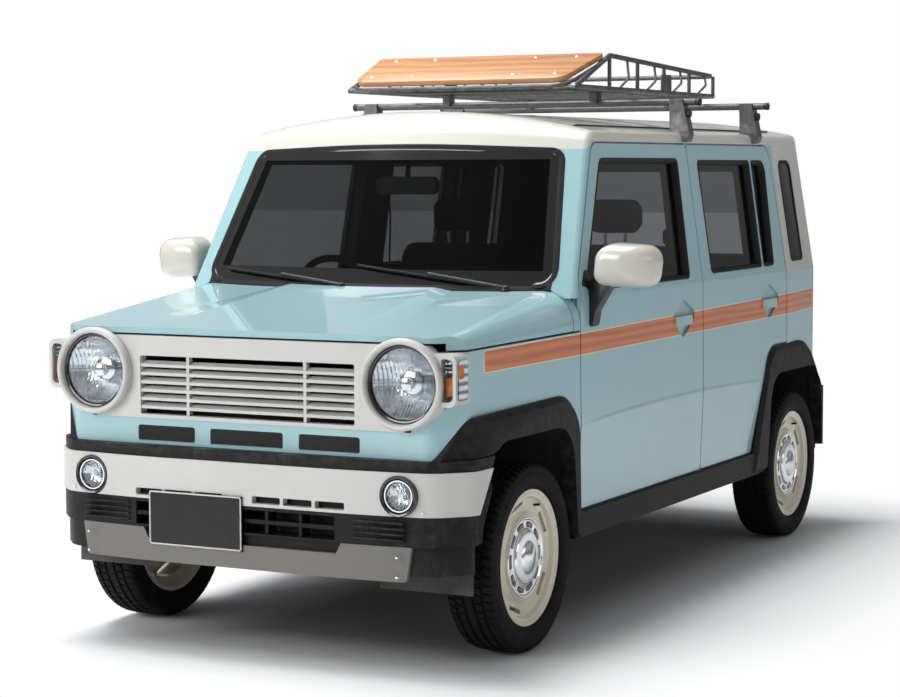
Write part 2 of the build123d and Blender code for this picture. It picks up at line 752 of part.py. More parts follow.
def make_rear_bumper():
    top = TAIL_LOW_Z - SHUT_GAP
    y = LENGTH / 2
    plan = [(700, 1590, 0), (737, 1602, 10), (700, y - 28, 70), (560, y, 60)]
    plan += [(-a, b, r) for a, b, r in plan[::-1]]
    shape = along_z(plan, 330, top)
    shape -= block(-560, 560, 1500, y - 60, 300, top - 60)
    return shape - along_y(
        [(-150, 545, 10), (150, 545, 10), (150, 400, 10), (-150, 400, 10)], y - 12, y + 10
    )


# Underneath

def make_floor_pan():
    inside = lower_body(SIDE_WALL)
    floor = inside & block(-700, 700, -900, 1700, 330, 355)
    well = block(478, 800, REAR_AXLE_Y - 372, 1700, 330, 672) & inside
    hollow = block(490, 900, REAR_AXLE_Y - 360, REAR_AXLE_Y + 326, 200, 660)
    profile = [
        (-870, 1050, 0),
        (-845, 1050, 0),
        (-845, 500, 0),
        (-780, 400, 0),
        (-780, 330, 0),
        (-812, 330, 0),
        (-812, 392, 0),
        (-870, 484, 0),
    ]
    firewall = along_x(profile, -642, 642) - SHELL
    firewall -= both_sides(block(600, 700, -900, -840, 1036, 1060))
    firewall -= both_sides(block(640, 700, -900, -780, SHUT_LINE_REAR_Z, 1060))
    well_wall = well - block(490, 900, REAR_AXLE_Y - 360, 1700, 200, 660)
    return floor + firewall + both_sides(well_wall) - both_sides(hollow)


def make_front_structure(floor, bumper):
    rail = block(335, 385, FRAME_Y, -846, 400, 470)
    apron = block(372, 385, FRAME_Y, -860, 460, 900)
    shelf = block(372, 720, FRAME_Y, -870, 880, 900)
    frame = block(-720, 720, FRAME_Y, FRAME_Y + 28, 390, 900)
    frame -= block(-335, 335, -1700, -1500, 470, 850)
    shape = both_sides(rail + apron + shelf) + frame
    return (shape & nose(NOSE_WALL)) - floor - bumper - front_panel_space()


def make_engine():
    corners = [(-1490, 330, 30), (-1490, 830, 60), (-960, 830, 60), (-960, 330, 30)]
    return along_x(corners, -320, 320)


def make_front_suspension():
    y = FRONT_AXLE_Y
    beam = block(-360, 360, y - 90, y + 90, 270, 330)
    riser = block(335, 360, y - 90, y + 90, 330, 400)
    arm = along_y([(350, 270, 0), (350, 300, 0), (560, 213, 0), (585, 213, 0), (585, 193, 0), (552, 193, 0)], y - 10, y + 10)
    web = along_z([(350, y - 80, 0), (350, y + 80, 0), (470, y + 10, 0), (470, y - 10, 0)], 272, 290)
    joint = Pos(KINGPIN_X, y, 203) * Cylinder(12, 20)
    pin = Pos(KINGPIN_X, y, 232) * Cylinder(8, 38)
    lower = beam + both_sides(riser + arm + web + joint + pin)
    leg = Pos(STRUT_X, y, 640) * Cylinder(STRUT_R, 480)
    seat = Pos(STRUT_X, y, 640) * Cylinder(62, 12)
    spring = Pos(STRUT_X, y, 763) * Cylinder(48, 234)
    foot = block(STRUT_X, KINGPIN_X, y - 9, y + 9, 400, 420) + Pos(KINGPIN_X, y, 410) * Cylinder(12, 20)
    top_pin = Pos(KINGPIN_X, y, 383) * Cylinder(8, 38)
    return lower + both_sides(leg + seat + spring + foot + top_pin)


def make_rear_axle():
    y = REAR_AXLE_Y
    beam = rod((-556, y, HUB_Z), (556, y, HUB_Z), 27)
    stub = rod((550, y, HUB_Z), (WHEEL_X + 4, y, HUB_Z), AXLE_R)
    arm = along_x([(850, 300, 0), (850, 330, 0), (900, 330, 0), (y, 305, 0), (y, 275, 0)], 430, 470)
    return beam + both_sides(stub + arm)


def make_exhaust():
    pipe = tube([(150, -1000, 300), (150, -880, 232), (150, 1250, 232), (150, 1420, 275)], 60, 20)
    muffler = block(20, 320, 1400, 1570, 220, 330)
    return pipe + fillet(muffler.edges().filter_by(Axis.X), 30)


# Wheels

def make_tyre(x, y):
    half = [(56, TYRE_BEAD_R), (56, 209), (74, 217), (TYRE_W / 2, 246), (74, 281), (50, TYRE_R)]
    profile = half + [(-a, r) for a, r in half[::-1]]
    return turned([(a, r, 0) for a, r in profile], x, y, HUB_Z)


def make_rim(x, y):
    side = 1 if x > 0 else -1
    profile = [
        (-RIM_LIP_X, RIM_R), (-57, RIM_R), (-57, TYRE_BEAD_R), (-24, TYRE_BEAD_R), (-24, 172),
        (18, 172), (26, TYRE_BEAD_R), (57, TYRE_BEAD_R), (57, RIM_R), (RIM_LIP_X, RIM_R),
        (62, 186), (50, 180), (40, 142), (48, HUB_CAP_R), (54, HUB_CAP_R - 1),
        (50, 114), (50, 88), (58, 82), (64, 44), (78, 0),
        (4, 0), (4, AXLE_R + TURN_GAP), (-41, AXLE_R + TURN_GAP), (-41, 100), (-31, 100), (-31, 30),
        (34, 30), (34, 134), (24, 164), (-32, 164), (-RIM_LIP_X, 196),
    ]
    wheel = turned([(side * a, r, 0) for a, r in profile], x, y, HUB_Z)
    slot = block(x - 90, x + 90, y - 40, y + 40, HUB_Z + 156, HUB_Z + 170)
    axis = Axis((x, y, HUB_Z), (1, 0, 0))
    for place in range(WHEEL_SLOTS):
        angle = 15 + place * 360 / WHEEL_SLOTS
        wheel -= slot.rotate(axis, side * angle) & turned_disc(x + side * 20, x + side * 90, y)
    return wheel


def turned_disc(x0, x1, y):
    return rod((min(x0, x1), y, HUB_Z), (max(x0, x1), y, HUB_Z), 182)


def make_knuckle():
    y = FRONT_AXLE_Y
    upright = along_x(
        [(y - 34, 219, 8), (y + 34, 219, 8), (y + 44, HUB_Z, 20), (y + 30, 394, 8), (y - 30, 394, 8), (y - 44, HUB_Z, 20)],
        568,
        597,
    )
    arm = along_x([(y + 20, 270, 0), (y + 20, 300, 0), (y + 128, 292, 10), (y + 128, 268, 10)], 572, 588)
    stub = rod((580, y, HUB_Z), (WHEEL_X + 2, y, HUB_Z), AXLE_R)
    bore = Pos(KINGPIN_X, y, 236) * Cylinder(8 + TURN_GAP, 40)
    bore += Pos(KINGPIN_X, y, 378) * Cylinder(8 + TURN_GAP, 40)
    return upright + arm + stub - bore


# Inside

STEER_CENTRE = (-352, -452, 1008)
STEER_TILT = 25
STEER_R = 178
GRIP_R = 14


def make_dashboard():
    profile = [
        (-845, 1040, 0),
        (-640, 1040, 40),
        (-560, 985, 40),
        (-548, 860, 30),
        (-620, 740, 20),
        (-845, 700, 0),
    ]
    x, y, z = STEER_CENTRE
    tilt = radians(STEER_TILT)
    start = (x, y - 200 * cos(tilt), z - 200 * sin(tilt))
    end = (x, y - 30 * cos(tilt), z - 30 * sin(tilt))
    tip = (x, y - 6 * cos(tilt), z - 6 * sin(tilt))
    return along_x(profile, -640, 640) + rod(start, end, 26) + rod(start, tip, 10)


def make_steering_wheel():
    tilt = radians(STEER_TILT)
    normal = (0, cos(tilt), sin(tilt))
    plane = Plane(origin=STEER_CENTRE, x_dir=(1, 0, 0), z_dir=normal)
    upright = Plane(origin=STEER_CENTRE, x_dir=(1, 0, 0), z_dir=(0, -sin(tilt), cos(tilt)))
    grip_x = STEER_R - GRIP_R
    grip = upright * Pos(grip_x, 0) * RegularPolygon(GRIP_R, 8)
    ring = revolve(grip, axis=Axis(STEER_CENTRE, normal))
    hub = extrude(plane.offset(-24) * Circle(46), amount=36)
    spokes = extrude(plane.offset(-10) * Rectangle(2 * grip_x, 34), amount=16)
    spokes += extrude(plane.offset(-10) * (Pos(0, -grip_x / 2) * Rectangle(34, grip_x)), amount=16)
    bore = extrude(plane.offset(-30) * Circle(10 + TURN_GAP), amount=30)
    return ring + hub + spokes - bore


def make_front_seats():
    side = [
        (-215, 355, 0),
        (-235, 560, 40),
        (-215, 628, 50),
        (190, 600, 60),
        (300, 1150, 30),
        (350, 1205, 40),
        (430, 1190, 50),
        (330, 560, 80),
        (250, 355, 0),
    ]
    body = along_x(side, 65, 585)
    head = along_x([(335, 1180, 0), (345, 1370, 40), (425, 1370, 40), (425, 1180, 0)], 200, 450)
    return both_sides(body + head)


def make_rear_seat():
    side = [
        (700, 355, 0),
        (690, 600, 50),
        (1080, 580, 60),
        (1180, 1120, 40),
        (1280, 1120, 40),
        (1190, 560, 60),
        (1140, 355, 0),
    ]
    body = along_x(side, -470, 470)
    head = along_x([(1195, 1100, 0), (1205, 1260, 30), (1270, 1260, 30), (1270, 1100, 0)], 150, 370)
    return body + both_sides(head)


def make_rear_view_mirror():
    y = -640
    body = along_y([(-115, 1380, 24), (115, 1380, 24), (115, 1440, 24), (-115, 1440, 24)], y + 8, y + 34)
    stem = rod((0, y + 20, 1420), (0, y + 50, 1600), 9)
    return body + (stem - (SHELL & block(-100, 100, -900, 0, 1300, 1700)))


# Roof rack

def make_roof_rack():
    foot = [(596, 1712, 6), (646, 1712, 6), (674, 1584, 10), (666, 1560, 4), (640, 1556, 0), (600, 1590, 0)]
    shape = Part()
    for y in RACK_BAR_YS:
        bar = rod((-RACK_BAR_HALF, y, RACK_BAR_Z), (RACK_BAR_HALF, y, RACK_BAR_Z), RACK_BAR_R)
        claw = along_y(foot, y - 24, y + 24) - CABIN
        clamp = block(286, 314, y - 22, y + 22, RACK_BAR_Z, RACK_FLOOR_Z)
        shape += bar + both_sides(claw + clamp)
    front, rear, x = RACK_FRONT_Y, RACK_REAR_Y, RACK_HALF
    rise_y, rise_z, tail_z = 60, 1862, 1822
    top = [
        (x, front, RACK_FLOOR_Z), (x, rise_y, rise_z), (x, rear, tail_z),
        (-x, rear, tail_z), (-x, rise_y, rise_z), (-x, front, RACK_FLOOR_Z),
    ]
    shape += tube(top, 40, RACK_TUBE_R)
    shape += rod((-x - 4, front, RACK_FLOOR_Z), (x + 4, front, RACK_FLOOR_Z), RACK_TUBE_R)
    shape += rod((-x, rear, RACK_FLOOR_Z), (x, rear, RACK_FLOOR_Z), RACK_TUBE_R)
    for side in (-1, 1):
        shape += rod((side * x, front, RACK_FLOOR_Z), (side * x, rear, RACK_FLOOR_Z), RACK_TUBE_R)
        for y in (60, 315, 570, 825, 1080):
            z = rise_z + (tail_z - rise_z) * (y - rise_y) / (rear - rise_y)
            shape += rod((side * x, y, RACK_FLOOR_Z), (side * x, y, z), 7)
        shape += rod((side * 300, front, RACK_FLOOR_Z), (side * 300, rear, RACK_FLOOR_Z), 8)
    for y in range(-70, 1000, 165):
        shape += rod((-x, y, RACK_FLOOR_Z), (x, y, RACK_FLOOR_Z), 7)
    return shape


def make_rack_board():
    y0, z0, y1, z1 = -262, 1756, 10, 1852
    profile = [(y0, z0, 0), (y1, z1, 0), (y1 + 4, z1 + 12, 3), (y0 - 4, z0 + 12, 3)]
    board = along_x(profile, -428, 428)
    return board - make_roof_rack()


def write(pieces):
    os.makedirs("parts", exist_ok=True)
    for name, shape in pieces.items():
        export_step(shape, f"parts/{name}.step")


def main():
    panel_space = front_panel_space()
    fender = make_fender() - panel_space
    cladding = make_cladding()
    side_frame = make_side_frame(fender)
    windows = {"front": [FRONT_WINDOW], "rear": [REAR_WINDOW, REAR_VENT]}
    front_door = make_door(flat(FRONT_DOOR), front_door_body(), windows["front"], FRONT_HANDLE)
    rear_door = make_door(rear_door_face(), rear_door_body(), windows["rear"], REAR_HANDLE)
    floor = make_floor_pan()
    bumper = make_front_bumper()
    front_glass = make_door_glass(windows["front"])
    rear_glass = make_door_glass(windows["rear"])
    mirror_piece = make_mirror(front_door)
    knuckle = make_knuckle()
    pieces = {
        "floor_pan": floor,
        "roof_shell": make_roof(),
        "fixed_glass": make_fixed_glass(),
        "front_fenders": both_sides(fender),
        "cowl": make_cowl(),
        "bonnet": make_bonnet(),
        "nose_panel": make_nose_panel() - panel_space,
        "grille_panel": make_grille_panel(),
        "front_lamps": make_front_lamps(),
        "front_bumper": bumper,
        "bumper_band": make_bumper_band(),
        "fog_lamps": make_fog_lamps(),
        "skid_plate": make_skid_plate(),
        "number_plate": make_number_plate(),
        "tailgate": make_tailgate(),
        "tailgate_glass": make_tailgate_glass(),
        "tail_lamps": both_sides(tail_lamp_space()),
        "rear_bumper": make_rear_bumper(),
        "front_structure": make_front_structure(floor, bumper),
        "engine_block": make_engine(),
        "front_suspension": make_front_suspension(),
        "rear_axle": make_rear_axle(),
        "exhaust": make_exhaust(),
        "dashboard": make_dashboard(),
        "steering_wheel": make_steering_wheel(),
        "front_seats": make_front_seats(),
        "rear_seat": make_rear_seat(),
        "rear_view_mirror": make_rear_view_mirror(),
        "roof_rack": make_roof_rack(),
        "rack_board": make_rack_board(),
    }
    pairs = {
        "side_frame": side_frame,
        "cladding": cladding,
        "door_front": front_door,
        "door_front_glass": front_glass,
        "door_mirror": mirror_piece,
        "door_rear": rear_door,
        "door_rear_glass": rear_glass,
        "knuckle": knuckle,
    }
    for name, shape in pairs.items():
        pieces[f"{name}_left"] = shape
        pieces[f"{name}_right"] = other_side(shape)
    for end, y in (("front", FRONT_AXLE_Y), ("rear", REAR_AXLE_Y)):
        for side, x in (("left", WHEEL_X), ("right", -WHEEL_X)):
            pieces[f"tyre_{end}_{side}"] = make_tyre(x, y)
            pieces[f"rim_{end}_{side}"] = make_rim(x, y)
    write(pieces)


main()
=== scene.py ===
"""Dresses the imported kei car: paint, glass, lamps, tyres, trim, roof rack and cabin, in metres."""

from math import cos, pi, radians, sin, sqrt

import bmesh
import bpy
from mathutils import Matrix, Vector


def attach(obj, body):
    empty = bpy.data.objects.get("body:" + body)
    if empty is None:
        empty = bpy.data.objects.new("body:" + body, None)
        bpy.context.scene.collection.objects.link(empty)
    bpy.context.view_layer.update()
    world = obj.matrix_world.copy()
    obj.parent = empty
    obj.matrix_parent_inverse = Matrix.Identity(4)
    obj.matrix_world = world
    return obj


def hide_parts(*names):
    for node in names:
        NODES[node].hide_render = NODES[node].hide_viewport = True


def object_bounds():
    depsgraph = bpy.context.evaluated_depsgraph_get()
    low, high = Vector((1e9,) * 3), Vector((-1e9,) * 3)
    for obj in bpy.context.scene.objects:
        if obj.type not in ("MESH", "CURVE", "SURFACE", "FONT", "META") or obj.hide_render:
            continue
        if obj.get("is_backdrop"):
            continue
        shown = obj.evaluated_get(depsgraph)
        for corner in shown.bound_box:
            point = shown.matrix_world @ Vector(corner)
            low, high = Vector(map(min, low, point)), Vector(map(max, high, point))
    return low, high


bl_info = {
    "name": "Kei car finish",
    "version": (1, 0, 0),
    "blender": (4, 5, 0),
    "location": "3D View > Sidebar > Kei car",
    "description": "Builds the painted, glazed and furnished look of the kei car round its frame",
    "category": "Object",
}

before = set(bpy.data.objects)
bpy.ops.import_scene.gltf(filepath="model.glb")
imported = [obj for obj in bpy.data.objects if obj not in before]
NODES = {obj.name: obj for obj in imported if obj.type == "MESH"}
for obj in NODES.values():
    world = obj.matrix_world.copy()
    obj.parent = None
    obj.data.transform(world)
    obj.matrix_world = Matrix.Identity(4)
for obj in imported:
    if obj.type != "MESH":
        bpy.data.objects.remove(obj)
CAD_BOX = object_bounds()

SIDES = (("left", 1), ("right", -1))
WHEELS = (
    ("front_left", 0.645, -1.1675),
    ("front_right", -0.645, -1.1675),
    ("rear_left", 0.645, 1.2575),
    ("rear_right", -0.645, 1.2575),
)
HUB_Z = 0.2895
BELT_Z, BELT_HALF, LEAN = 1.060, 0.720, 0.14410
ROOF_Z, CROWN_R, BROW_R, BROW_Y = 1.660, 2.9, 0.150, -0.521
REAR_Y = 1.660
LAMP_X, LAMP_Z = 0.540, 0.852
FRONT_WINDOW = ((-0.755, 1.084, 0.012), (-0.517, 1.494, 0.034), (0.157, 1.494, 0.014), (0.135, 1.084, 0.014))
REAR_WINDOW = ((0.363, 1.092, 0.014), (0.358, 1.488, 0.014), (0.888, 1.488, 0.010), (0.888, 1.094, 0.010))
REAR_VENT = ((0.922, 1.094, 0.010), (0.922, 1.488, 0.010), (1.062, 1.488, 0.040), (1.026, 1.096, 0.014))
QUARTER_WINDOW = ((1.252, 1.104, 0.012), (1.240, 1.486, 0.025), (1.392, 1.486, 0.036), (1.412, 1.104, 0.014))
WINDSCREEN = (
    (0.650, 1.096, 0.046), (0.574, 1.524, 0.046), (0, 1.545, 9.0), (-0.574, 1.524, 0.046),
    (-0.650, 1.096, 0.046),
)
TAIL_WINDOW = ((0.520, 1.100, 0.040), (0.478, 1.500, 0.050), (-0.478, 1.500, 0.050), (-0.520, 1.100, 0.040))


def linear(*values):
    """Linear colour from 0 to 255 screen values."""
    return tuple(((v / 255 + 0.055) / 1.055) ** 2.4 if v > 10 else v / 3294.6 for v in values)


# Settings that a user would change


class PaintColours(bpy.types.PropertyGroup):
    body: bpy.props.FloatVectorProperty(
        name="Body", description="Pale blue of the lower body", subtype="COLOR",
        default=linear(150, 190, 196),
    )
    roof: bpy.props.FloatVectorProperty(
        name="Roof", description="Warm white of the roof and mirrors", subtype="COLOR",
        default=linear(206, 203, 193),
    )
    silver: bpy.props.FloatVectorProperty(
        name="Front panel", description="Silver of the louvred panel and bumper", subtype="COLOR",
        default=linear(190, 190, 185),
    )
    wheel: bpy.props.FloatVectorProperty(
        name="Wheels", description="Cream of the steel wheels", subtype="COLOR",
        default=linear(214, 207, 186),
    )
    stripe: bpy.props.FloatVectorProperty(
        name="Stripe", description="Orange brown of the side stripe", subtype="COLOR",
        default=linear(214, 112, 34),
    )
    cladding: bpy.props.FloatVectorProperty(
        name="Cladding", description="Charcoal of the arches and sills", subtype="COLOR",
        default=linear(17, 17, 18),
    )


class TyreSizes(bpy.types.PropertyGroup):
    groove: bpy.props.FloatProperty(
        name="Groove depth", description="Depth of the tread's grooves", default=0.0065, unit="LENGTH",
    )
    pitches: bpy.props.IntProperty(
        name="Tread pitches", description="Tread blocks around the tyre", default=66,
    )


class CabinSizes(bpy.types.PropertyGroup):
    voxel: bpy.props.FloatProperty(
        name="Cushion mesh", description="Mesh size of the seat cushions", default=0.012, unit="LENGTH",
    )
    swell: bpy.props.FloatProperty(
        name="Cushion swell", description="Most that stuffing moves a cover", default=0.022, unit="LENGTH",
    )


class StageSettings(bpy.types.PropertyGroup):
    lens: bpy.props.FloatProperty(name="Lens", description="Focal length in millimetres", default=89.71)
    place: bpy.props.FloatVectorProperty(
        name="Camera", description="Where the camera stands", subtype="TRANSLATION",
        default=(3.6048, -7.2544, 1.4715),
    )
    turn: bpy.props.FloatVectorProperty(
        name="Turn", description="Camera's yaw, pitch and roll in degrees", default=(27.446, 4.6217, -0.183),
    )


# Mesh helpers


def mesh_piece(name, bm, *finishes, smooth=True, angle=38):
    """Object from a bmesh, smooth except across edges sharper than the angle."""
    bmesh.ops.recalc_face_normals(bm, faces=bm.faces)
    for face in bm.faces:
        face.smooth = smooth
    limit = radians(angle)
    for edge in bm.edges:
        if len(edge.link_faces) == 2 and edge.calc_face_angle(0) > limit:
            edge.smooth = False
    mesh = bpy.data.meshes.new(name)
    bm.to_mesh(mesh)
    bm.free()
    piece = bpy.data.objects.new(name, mesh)
    bpy.context.scene.collection.objects.link(piece)
    for finish in finishes:
        mesh.materials.append(finish_named(finish))
    return piece


def shaped(name, finish, make, *sizes, smooth=True, angle=38, **options):
    """A piece whose whole mesh comes from one call of a mesh helper."""
    bm = bmesh.new()
    make(bm, *sizes, **options)
    return mesh_piece(name, bm, finish, smooth=smooth, angle=angle)


def place(piece, body, slot=None, instead_of=()):
    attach(piece, body)
    if instead_of:
        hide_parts(*instead_of)
    return piece


def rounded(corners, steps=6):
    """Points of a closed outline through corners (a, b, radius), each rounded by its radius."""
    points = []
    count = len(corners)
    for i, (a, b, radius) in enumerate(corners):
        here = Vector((a, b))
        back = Vector(corners[i - 1][:2]) - here
        ahead = Vector(corners[(i + 1) % count][:2]) - here
        if radius <= 0:
            points.append(here)
            continue
        half = back.angle(ahead) / 2
        reach = min(radius / max(sin(half) / cos(half), 1e-6), back.length * 0.49, ahead.length * 0.49)
        radius = reach * sin(half) / cos(half)
        centre = here + (back.normalized() + ahead.normalized()).normalized() * (radius / sin(half))
        start = here + back.normalized() * reach - centre
        swing = start.angle_signed(here + ahead.normalized() * reach - centre)
        for k in range(steps + 1):
            turn = -swing * k / steps
            points.append(
                centre + Vector(
                    (start.x * cos(turn) - start.y * sin(turn), start.x * sin(turn) + start.y * cos(turn))
                )
            )
    return points


def oblong(x0, y0, x1, y1, bend, steps=6):
    """A rounded rectangle between two opposite corners."""
    return rounded([(x0, y0, bend), (x1, y0, bend), (x1, y1, bend), (x0, y1, bend)], steps)


def flipped(points, side):
    return [Vector((side * p.x, p.y)) for p in points]


def outward(points):
    """Unit normals of a closed loop of 2-D points, pointing out of it."""
    area = sum(p.cross(q) for p, q in zip(points, points[1:] + points[:1]))
    normals = []
    for i, point in enumerate(points):
        back = (point - points[i - 1]).normalized()
        ahead = (points[(i + 1) % len(points)] - point).normalized()
        along = back + ahead
        normal = Vector((along.y, -along.x)).normalized() * (1 if area > 0 else -1)
        normals.append(normal / max(0.5, abs(normal.dot(Vector((back.y, -back.x))))))
    return normals


def rings(bm, loops, closed_across=False, caps=True, material=0):
    """Faces between successive closed loops of the same number of points."""
    made = [[bm.verts.new(point) for point in loop] for loop in loops]
    count = len(made[0])
    pairs = list(zip(made, made[1:])) + ([(made[-1], made[0])] if closed_across else [])
    for low, high in pairs:
        for i in range(count):
            j = (i + 1) % count
            face = bm.faces.new((low[i], low[j], high[j], high[i]))
            face.material_index = material
    if caps and not closed_across:
        for loop in (made[0], made[-1]):
            bm.faces.new(loop).material_index = material
    return made


def prism(bm, points, low, high, bevel=0.0, material=0):
    """Closed prism between two mappings of a 2-D outline, with its rims pulled in by a bevel.

    low and high take (point, inwards) and return a 3-D place; inwards is the bevel's share of depth.
    """
    normals = outward(points)
    shrunk = [p - n * bevel for p, n in zip(points, normals)]
    loops = [
        [low(p, 0) for p in shrunk], [low(p, 1) for p in points],
    ] if bevel else [[low(p, 0) for p in points]]
    loops += [
        [high(p, 1) for p in points], [high(p, 0) for p in shrunk],
    ] if bevel else [[high(p, 0) for p in points]]
    return rings(bm, loops, material=material)


def slab(bm, outline_points, axis, start, end, bevel=0.0015, material=0):
    """Bevelled prism of a 2-D outline along X, Y or Z."""
    sign = 1 if end > start else -1

    def spot(point, depth):
        if axis == "X":
            return (depth, point.x, point.y)
        if axis == "Y":
            return (point.x, depth, point.y)
        return (point.x, point.y, depth)

    return prism(
        bm, outline_points, lambda p, inwards: spot(p, start + sign * bevel * inwards),
        lambda p, inwards: spot(p, end - sign * bevel * inwards), bevel, material,
    )


def turned(bm, profile, steps, spot, material=0, closed=False):
    """Surface turned about an axis; spot maps (across, radius, angle) to a place."""
    made = []
    for across, radius in profile:
        if radius < 1e-5:
            made.append([bm.verts.new(spot(across, 0, 0))])
        else:
            made.append([bm.verts.new(spot(across, radius, 2 * pi * i / steps)) for i in range(steps)])
    faces = []
    pairs = list(zip(made, made[1:])) + ([(made[-1], made[0])] if closed else [])
    for low, high in pairs:
        row = []
        for i in range(steps):
            j = (i + 1) % steps
            corners = [low[i % len(low)], low[j % len(low)], high[j % len(high)], high[i % len(high)]]
            unique = list(dict.fromkeys(corners))
            if len(unique) >= 3:
                face = bm.faces.new(unique)
                face.material_index = material
                row.append(face)
        faces.append(row)
    return made, faces


def about_y(x, z):
    return lambda across, radius, angle: (x + radius * cos(angle), across, z + radius * sin(angle))


def about_x(y, z, side=1):
    return lambda across, radius, angle: (across * side, y + radius * cos(angle), z + radius * sin(angle))


def tube_line(name, points, radius, finish, cyclic=False, resolution=4):
    """Round bar along a poly line."""
    curve = bpy.data.curves.new(name, "CURVE")
    curve.dimensions = "3D"
    curve.bevel_depth = radius
    curve.bevel_resolution = resolution
    curve.use_fill_caps = True
    line = curve.splines.new("POLY")
    line.points.add(len(points) - 1)
    for spot, point in zip(line.points, points):
        spot.co = (*point, 1)
    line.use_cyclic_u = cyclic
    line.use_smooth = True
    curve.materials.append(finish_named(finish))
    piece = bpy.data.objects.new(name, curve)
    bpy.context.scene.collection.objects.link(piece)
    return piece


def bent(points, bend, steps=6):
    """3-D run through points with arcs of one bend radius at the inner ones."""
    points = [Vector(p) for p in points]
    run = [points[0]]
    for before, here, after in zip(points, points[1:], points[2:]):
        back, ahead = (before - here).normalized(), (after - here).normalized()
        half = back.angle(ahead) / 2
        if half > radians(89):
            run.append(here)
            continue
        reach = min(
            bend / (sin(half) / cos(half)), (before - here).length * 0.45, (after - here).length * 0.45,
        )
        radius = reach * sin(half) / cos(half)
        centre = here + (back + ahead).normalized() * (radius / sin(half))
        start, end = here + back * reach - centre, here + ahead * reach - centre
        for k in range(steps + 1):
            run.append(centre + start.slerp(end, k / steps) * radius / start.slerp(end, k / steps).length)
    run.append(points[-1])
    return run


# Where the body's outside lies


def side_spot(y, z, lift=0.0, side=1):
    x = BELT_HALF - max(0, z - BELT_Z) * LEAN - max(0, y - 1.232) / 15
    flat = 1 / sqrt(1 + LEAN * LEAN) if z > BELT_Z else 1
    return Vector((side * (x + lift * flat), y, z + (lift * LEAN * flat if z > BELT_Z else 0)))


def screen_spot(x, z, lift=0.0):
    height = BROW_R - CROWN_R + sqrt(CROWN_R**2 - x * x)
    run = (ROOF_Z - BROW_R + 0.5 * height - z) / 0.8660
    return Vector((x, BROW_Y - 0.8660 * (height + lift) - 0.5 * run, z + 0.5 * lift))


def rear_spot(x, z, lift=0.0):
    return Vector((x, REAR_Y - (z - BELT_Z) * LEAN + lift, z))


def surface_strip(name, corners, spot, section, finish, body, steps=6, slot=None):
    """Closed trim strip round an outline on a surface; section holds (outwards, lift) pairs."""
    points = rounded(corners, steps)
    normals = outward(points)
    bm = bmesh.new()
    loops = []
    for out, lift in section:
        loops.append([spot(*(p + n * out), lift) for p, n in zip(points, normals)])
    rings(bm, loops, closed_across=True)
    return place(mesh_piece(name, bm, finish), body, slot)


# Node helpers


class Nodes:
    """A node tree with short ways to add to it."""

    def __init__(self, tree):
        self.tree = tree

    def add(self, kind, inputs=None, **settings):
        made = self.tree.nodes.new("ShaderNode" + kind)
        for key, value in settings.items():
            setattr(made, key, value)
        for key, value in (inputs or {}).items():
            self.feed(made.inputs[key], value)
        return made

    def feed(self, socket, value):
        if isinstance(value, bpy.types.NodeSocket):
            self.tree.links.new(value, socket)
        elif socket.type == "RGBA" and len(value) == 3:
            socket.default_value = (*value, 1)
        else:
            socket.default_value = value

    def math(self, operation, *values, clamp=False):
        made = self.add("Math", dict(enumerate(values)), operation=operation, use_clamp=clamp)
        return made.outputs[0]

    def plus(self, first, second, clamp=False):
        return self.math("ADD", first, second, clamp=clamp)

    def minus(self, first, second, clamp=False):
        return self.math("SUBTRACT", first, second, clamp=clamp)

    def times(self, first, second, clamp=False):
        return self.math("MULTIPLY", first, second, clamp=clamp)

    def scaled(self, value, gain, offset):
        return self.math("MULTIPLY_ADD", value, gain, offset)

    def larger(self, first, second):
        return self.math("MAXIMUM", first, second)

    def smaller(self, first, second):
        return self.math("MINIMUM", first, second)

    def size(self, value):
        return self.math("ABSOLUTE", value)

    def above(self, value, level):
        return self.math("GREATER_THAN", value, level)

    def under(self, value, level):
        return self.math("LESS_THAN", value, level)

    def mix(self, factor, first, second, blend="MIX"):
        made = self.add("Mix", data_type="RGBA", blend_type=blend)
        for index, value in ((0, factor), (6, first), (7, second)):
            self.feed(made.inputs[index], value)
        return made.outputs[2]

    def blend(self, factor, first, second):
        made = self.add("Mix", {0: factor, 2: first, 3: second}, data_type="FLOAT")
        return made.outputs[0]

    def spread(self, value, low, high, to_low=0.0, to_high=1.0):
        made = self.add("MapRange", {0: value, 1: low, 2: high, 3: to_low, 4: to_high})
        return made.outputs[0]

    def place(self):
        return self.add("TexCoord").outputs["Object"]

    def split(self, vector=None):
        made = self.add("SeparateXYZ", {0: vector or self.place()})
        return made.outputs[0], made.outputs[1], made.outputs[2]

    def noise(self, scale, detail=3.0, roughness=0.5, stretch=None):
        vector = self.place()
        if stretch:
            vector = self.add("Mapping", {"Vector": vector, "Scale": stretch}).outputs[0]
        made = self.add(
            "TexNoise", {"Vector": vector, "Scale": scale, "Detail": detail, "Roughness": roughness},
        )
        return made.outputs["Fac"]

    def cells(self, scale, feature="F1"):
        made = self.add("TexVoronoi", {"Vector": self.place(), "Scale": scale}, feature=feature)
        return made.outputs["Distance"]

    def bump(self, height, strength, distance=0.001, normal=None):
        made = self.add("Bump", {"Height": height, "Strength": strength, "Distance": distance})
        if normal is not None:
            self.feed(made.inputs["Normal"], normal)
        return made.outputs[0]


